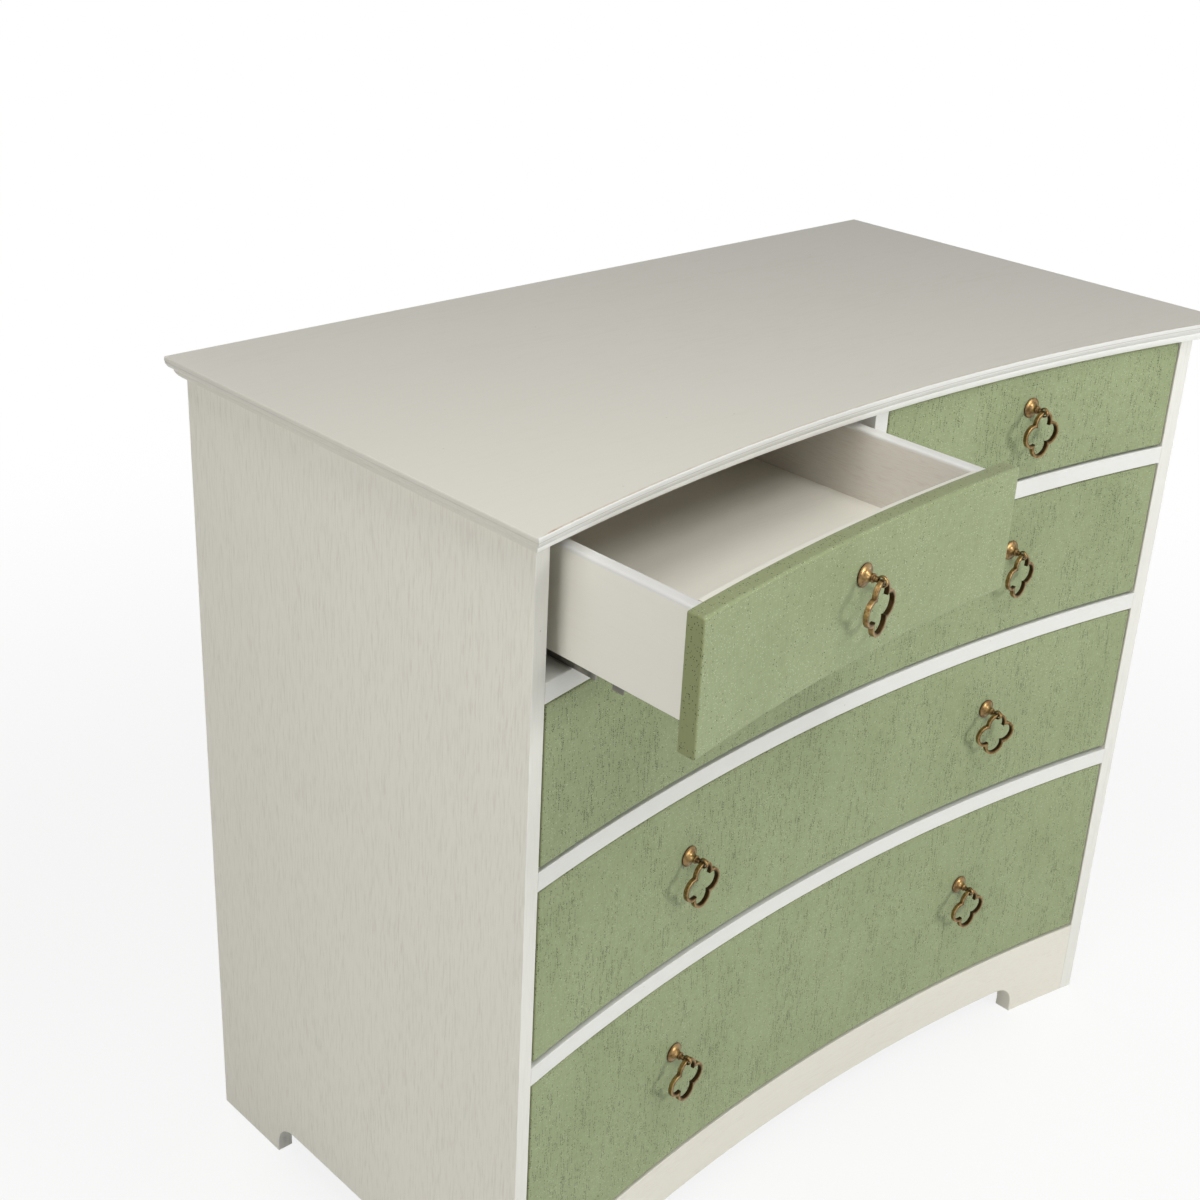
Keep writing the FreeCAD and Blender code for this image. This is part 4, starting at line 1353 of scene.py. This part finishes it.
@dataclass(frozen=True)
class Drawer:
    """One drawer: curved front, the box behind it, and its pulls."""

    name: str
    front: HollowFront
    finishes: Finishes
    front_thickness: float = 19.0 * MM
    edge_radius: float = 2.3 * MM
    side_top_radius: float = 2.5 * MM
    board_ease: float = 0.6 * MM
    glue: float = 0.1 * MM
    stations: int = 49
    side_end: float = 0.0001
    # Values of the mark on the upper edge and the arris: folded cloth, and painted shade on it.
    edge_fold: float = 0.72
    arris_fold: float = 0.30
    sparse_front: str = "upper_left"
    sparse_slubs: float = 0.2

    @property
    def body(self) -> str:
        """Body that the drawer's pieces ride on."""
        return self.name + "_drawer"

    def shift(self) -> float:
        """How far the drawer stands from its closed place, along y."""
        low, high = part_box(self.name + "_front")
        return low.y - float(self.front.depth(np.array([low.x, high.x])).min())

    def curved(self, node: str, start: float, radii: float) -> bpy.types.Object:
        """Board of the front that follows the curve, from start metres behind the face.

        Its points carry three marks for the cloth: slubs, the share of its pinholes; arris, one on the upper
        corner of the face, for worn specks and a painted highlight; and a third, one on the two ends and less
        on the upper edge, for the folded cloth and its painted shade.

        Args:
            node: the frame node of the board.
            start: how far behind the face of the front the board begins.
            radii: the round of all its edges.

        Returns:
            The board.
        """
        low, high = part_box(node)
        shift = self.shift()
        thick = self.front_thickness
        if start:
            deepest = 0.0 if low.x < 0 < high.x else min(abs(low.x), abs(high.x))
            thick = high.y - shift - float(self.front.depth(np.array(deepest), start))

        def bend(run: Array, rise: Array, depth: Array) -> Array:
            """Every depth on its own circle about the front's axis."""
            return np.stack([run, self.front.depth(run, start + depth) + shift, rise], -1)

        board = Board((low.x, high.x), (low.z, high.z), (0.0, thick), (radii,) * 4, radii, self.stations)
        shell = board.shell(bend)
        rows = shell.points.shape[0]
        from_end = np.minimum(np.arange(rows), np.arange(rows)[::-1])
        arris = np.broadcast_to(corner_marks(board.steps) == 1, shell.points.shape[:2])
        ends = np.clip((board.steps - from_end) / 2, 0, 1)[:, None]
        # The ends and upper edge: folded cloth with more pinholes, and painted shade.
        on_edge = np.where(arris, self.arris_fold, self.edge_fold * upper_edge(board.steps))
        fold = np.maximum(ends, on_edge)
        slubs = np.full(arris.shape, self.sparse_slubs if self.name == self.sparse_front else 1.0)
        return shell.build(node + "_board", {"slubs": slubs, "arris": arris * (1 - fold), "fold": fold})

    def build_boards(self) -> None:
        """Linen front, the board behind it, and the two sides."""
        face = self.curved(self.name + "_front", 0.0, self.edge_radius)
        dress(face, self.body, "linen_front", self.finishes.linen, self.name + "_front")
        behind = self.front_thickness + self.glue
        inner = self.curved(self.name + "_subfront", behind, self.board_ease)
        dress(inner, self.body, "painted_wood", self.finishes.cross, self.name + "_subfront")
        low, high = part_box(self.name + "_sides")
        back_low, back_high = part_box(self.name + "_back")
        shift = self.shift()
        spans = {Side.LEFT: (low.x, back_low.x), Side.RIGHT: (back_high.x, high.x)}
        # The right sides take a darker copy of the box paint: painted shade.
        paints = {Side.LEFT: self.finishes.smooth, Side.RIGHT: self.finishes.deep}
        for side, span in spans.items():

            def bend(run: Array, rise: Array, depth: Array) -> Array:
                """From the back of the front, at run zero, to the back of the box, at run one."""
                start = self.front.depth(depth, behind) + shift
                return np.stack([depth, start + run * (high.y - start), rise], -1)

            radii = (self.board_ease, self.side_top_radius, self.side_top_radius, self.board_ease)
            board = Board((0.0, 1.0), (low.z, high.z), span, radii, self.side_end)
            shell = board.shell(bend)
            # The top edge takes the rim colour: a painted highlight on the right sides and painted shade on
            # the left.
            rim = np.broadcast_to(upper_edge(board.steps), shell.points.shape[:2])
            piece = shell.build("%s_side_%s" % (self.name, side.name.lower()), {"rim": rim})
            dress(piece, self.body, "painted_wood", paints[side], self.name + "_sides")
            if side is Side.LEFT:
                # The inner face takes the brighter inside white: painted light.
                paint_facing(piece, (1.0, 0.0, 0.0), self.finishes.inside)
        # The back takes the brighter inside white: painted light.
        paint_node(self.name + "_back", self.finishes.inside)
        paint_node(self.name + "_bottom", self.finishes.plain)
        paint_node(self.name + "_slides", self.finishes.zinc)

    def build_pulls(self) -> None:
        """Pulls at the hinges of the rings that this drawer carries."""
        for joint in frame["joints"]:
            if joint["parent"] != self.body:
                continue
            eye = Vector(joint["pos_m"])
            towards = Vector((0, self.front.axis_y + self.shift(), eye.z)) - eye
            out = towards.normalized()
            across = UP.cross(out)
            stem = joint["child"].removesuffix("_pull")
            pull = Pull(stem, eye, across, out, self.finishes, self.body, joint["child"])
            pull.build(-Vector(joint["axis"]), self.name + "_pull_posts", stem + "_ring")

    def build(self) -> None:
        """Build and dress the drawer."""
        self.build_boards()
        self.build_pulls()


@dataclass(frozen=True)
class Lamp:
    """A soft square lamp that looks at a point."""

    name: str
    place: Triple
    target: Triple
    size: float
    power: float

    def build(self) -> None:
        """Make the lamp."""
        data = bpy.data.lights.new(self.name, "AREA")
        data.shape = "SQUARE"
        data.size = self.size
        data.energy = self.power
        lamp = bpy.data.objects.new(self.name, data)
        lamp.visible_camera = False
        bpy.context.scene.collection.objects.link(lamp)
        way = Vector(self.target) - Vector(self.place)
        turn = way.to_track_quat("-Z", "Y").to_matrix().to_4x4()
        lamp.matrix_world = Matrix.Translation(self.place) @ turn


@dataclass(frozen=True)
class Studio:
    """Camera at the photograph's angle, soft light, pale floor."""

    azimuth: float = -43.986
    elevation: float = 25.268
    roll: float = 2.856
    camera_place: Triple = (-1.34566, -1.22241, 1.45762)
    focal_pixels: float = 1808.4
    ambient: float = 0.10
    floor_half: float = 24.0
    floor_glow: float = 0.84
    shadow_reach: Pair = (0.8, 2.6)
    paper: Triple = (0.86, 0.86, 0.85)
    lamps: tuple[Lamp, ...] = (
        Lamp("key_lamp", (0.9, -3.1, 1.25), (0.0, -0.2, 0.7), 1.1, 46.0),
        Lamp("corner_lamp", (-0.9, -0.5, 2.2), (-0.4, -0.2, 0.9), 0.8, 9.7),
        Lamp("side_lamp", (-2.6, -0.6, 1.35), (-0.49, 0.0, 0.75), 1.2, 22.8),
        Lamp("over_lamp", (-0.1, -1.6, 2.6), (-0.2, -0.3, 0.8), 0.8, 19.0),
        Lamp("right_lamp", (3.4, 0.3, 1.0), (0.49, 0.0, 0.5), 1.2, 36.0),
        Lamp("back_lamp", (0.4, 3.4, 1.0), (0.0, 0.26, 0.5), 1.2, 36.0),
    )

    def build_camera(self) -> None:
        """Camera whose axes come from azimuth, elevation and roll."""
        turn, lift, tilt = (math.radians(value) for value in (self.azimuth, self.elevation, self.roll))
        back = Vector((math.sin(turn) * math.cos(lift), -math.cos(turn) * math.cos(lift), math.sin(lift)))
        right = UP.cross(back).normalized()
        up = back.cross(right)
        tilted = right * math.cos(tilt) + up * math.sin(tilt)
        data = bpy.data.cameras.new("studio_camera")
        data.sensor_width = SENSOR_MM
        data.lens = self.focal_pixels / IMAGE_PIXELS * SENSOR_MM
        camera = bpy.data.objects.new("studio_camera", data)
        bpy.context.scene.collection.objects.link(camera)
        axes = Matrix((tilted, back.cross(tilted), back)).transposed().to_4x4()
        camera.matrix_world = Matrix.Translation(self.camera_place) @ axes
        bpy.context.scene.camera = camera

    def seen_white(self, bench: Bench) -> Wire:
        """Tell the rays that see the backdrop: straight from the camera, or off metal, gloss and glass.

        Args:
            bench: bench of the world or the floor.

        Returns:
            One for those rays and zero for the others.
        """
        path = bench.add("ShaderNodeLightPath", out="Is Camera Ray")
        rays = path.socket.node.outputs
        seen = path.math("MAXIMUM", Wire(bench, rays["Is Glossy Ray"]))
        return seen.math("MAXIMUM", Wire(bench, rays["Is Transmission Ray"]))

    def build_world(self) -> None:
        """White to the eye, and a plain level of light to the object."""
        world = bpy.data.worlds.new("studio_world")
        bpy.context.scene.world = world
        bench = Bench(world)
        room = bench.add("ShaderNodeBackground", sockets={"Color": (1, 1, 1, 1), "Strength": self.ambient})
        white = bench.add("ShaderNodeBackground", sockets={"Color": (1, 1, 1, 1), "Strength": 1.0})
        both = bench.add("ShaderNodeMixShader", sockets={0: self.seen_white(bench), 1: room, 2: white})
        bench.add("ShaderNodeOutputWorld", sockets={"Surface": both})

    def build_floor(self) -> None:
        """Pale floor that keeps a soft shadow near the chest and runs out to white away from it."""
        half = self.floor_half
        corners = [(-half, -half, 0), (half, -half, 0), (half, half, 0), (-half, half, 0)]
        mesh = bpy.data.meshes.new("floor")
        mesh.from_pydata(corners, [], [(0, 1, 2, 3)])
        floor = bpy.data.objects.new("floor", mesh)
        bpy.context.scene.collection.objects.link(floor)
        bench = Bench(bpy.data.materials.new("studio_floor"))
        paper = bench.add("ShaderNodeBsdfDiffuse", sockets={"Color": (*self.paper, 1)})
        glow = bench.add("ShaderNodeEmission", sockets={"Color": (1, 1, 1, 1), "Strength": 1.0})
        place = bench.in_piece((1.0, 1.0, 1.0))
        away = bench.add("ShaderNodeVectorMath", {"operation": "LENGTH"}, {0: place}, out="Value")
        share = self.floor_glow + away.rise(*self.shadow_reach) * (1.0 - self.floor_glow)
        seen = self.seen_white(bench) * share
        both = bench.add("ShaderNodeMixShader", sockets={0: seen, 1: paper, 2: glow})
        bench.add("ShaderNodeOutputMaterial", sockets={"Surface": both})
        mesh.materials.append(bench.owner)

    def build(self) -> None:
        """Build the studio."""
        bpy.context.scene.view_settings.view_transform = "Standard"
        self.build_camera()
        self.build_world()
        self.build_floor()
        for lamp in self.lamps:
            lamp.build()


def main() -> None:
    """Build the chest and its studio in order."""
    logging.basicConfig(level=logging.INFO, format="%(name)s: %(message)s")
    front = HollowFront.from_frame()
    finishes = Finishes.make()
    Carcass(front, finishes).build()
    for name in ("upper_left", "upper_right", "second", "third", "lowest"):
        Drawer(name, front, finishes).build()
    Studio().build()


if __name__ == "__main__":
    main()
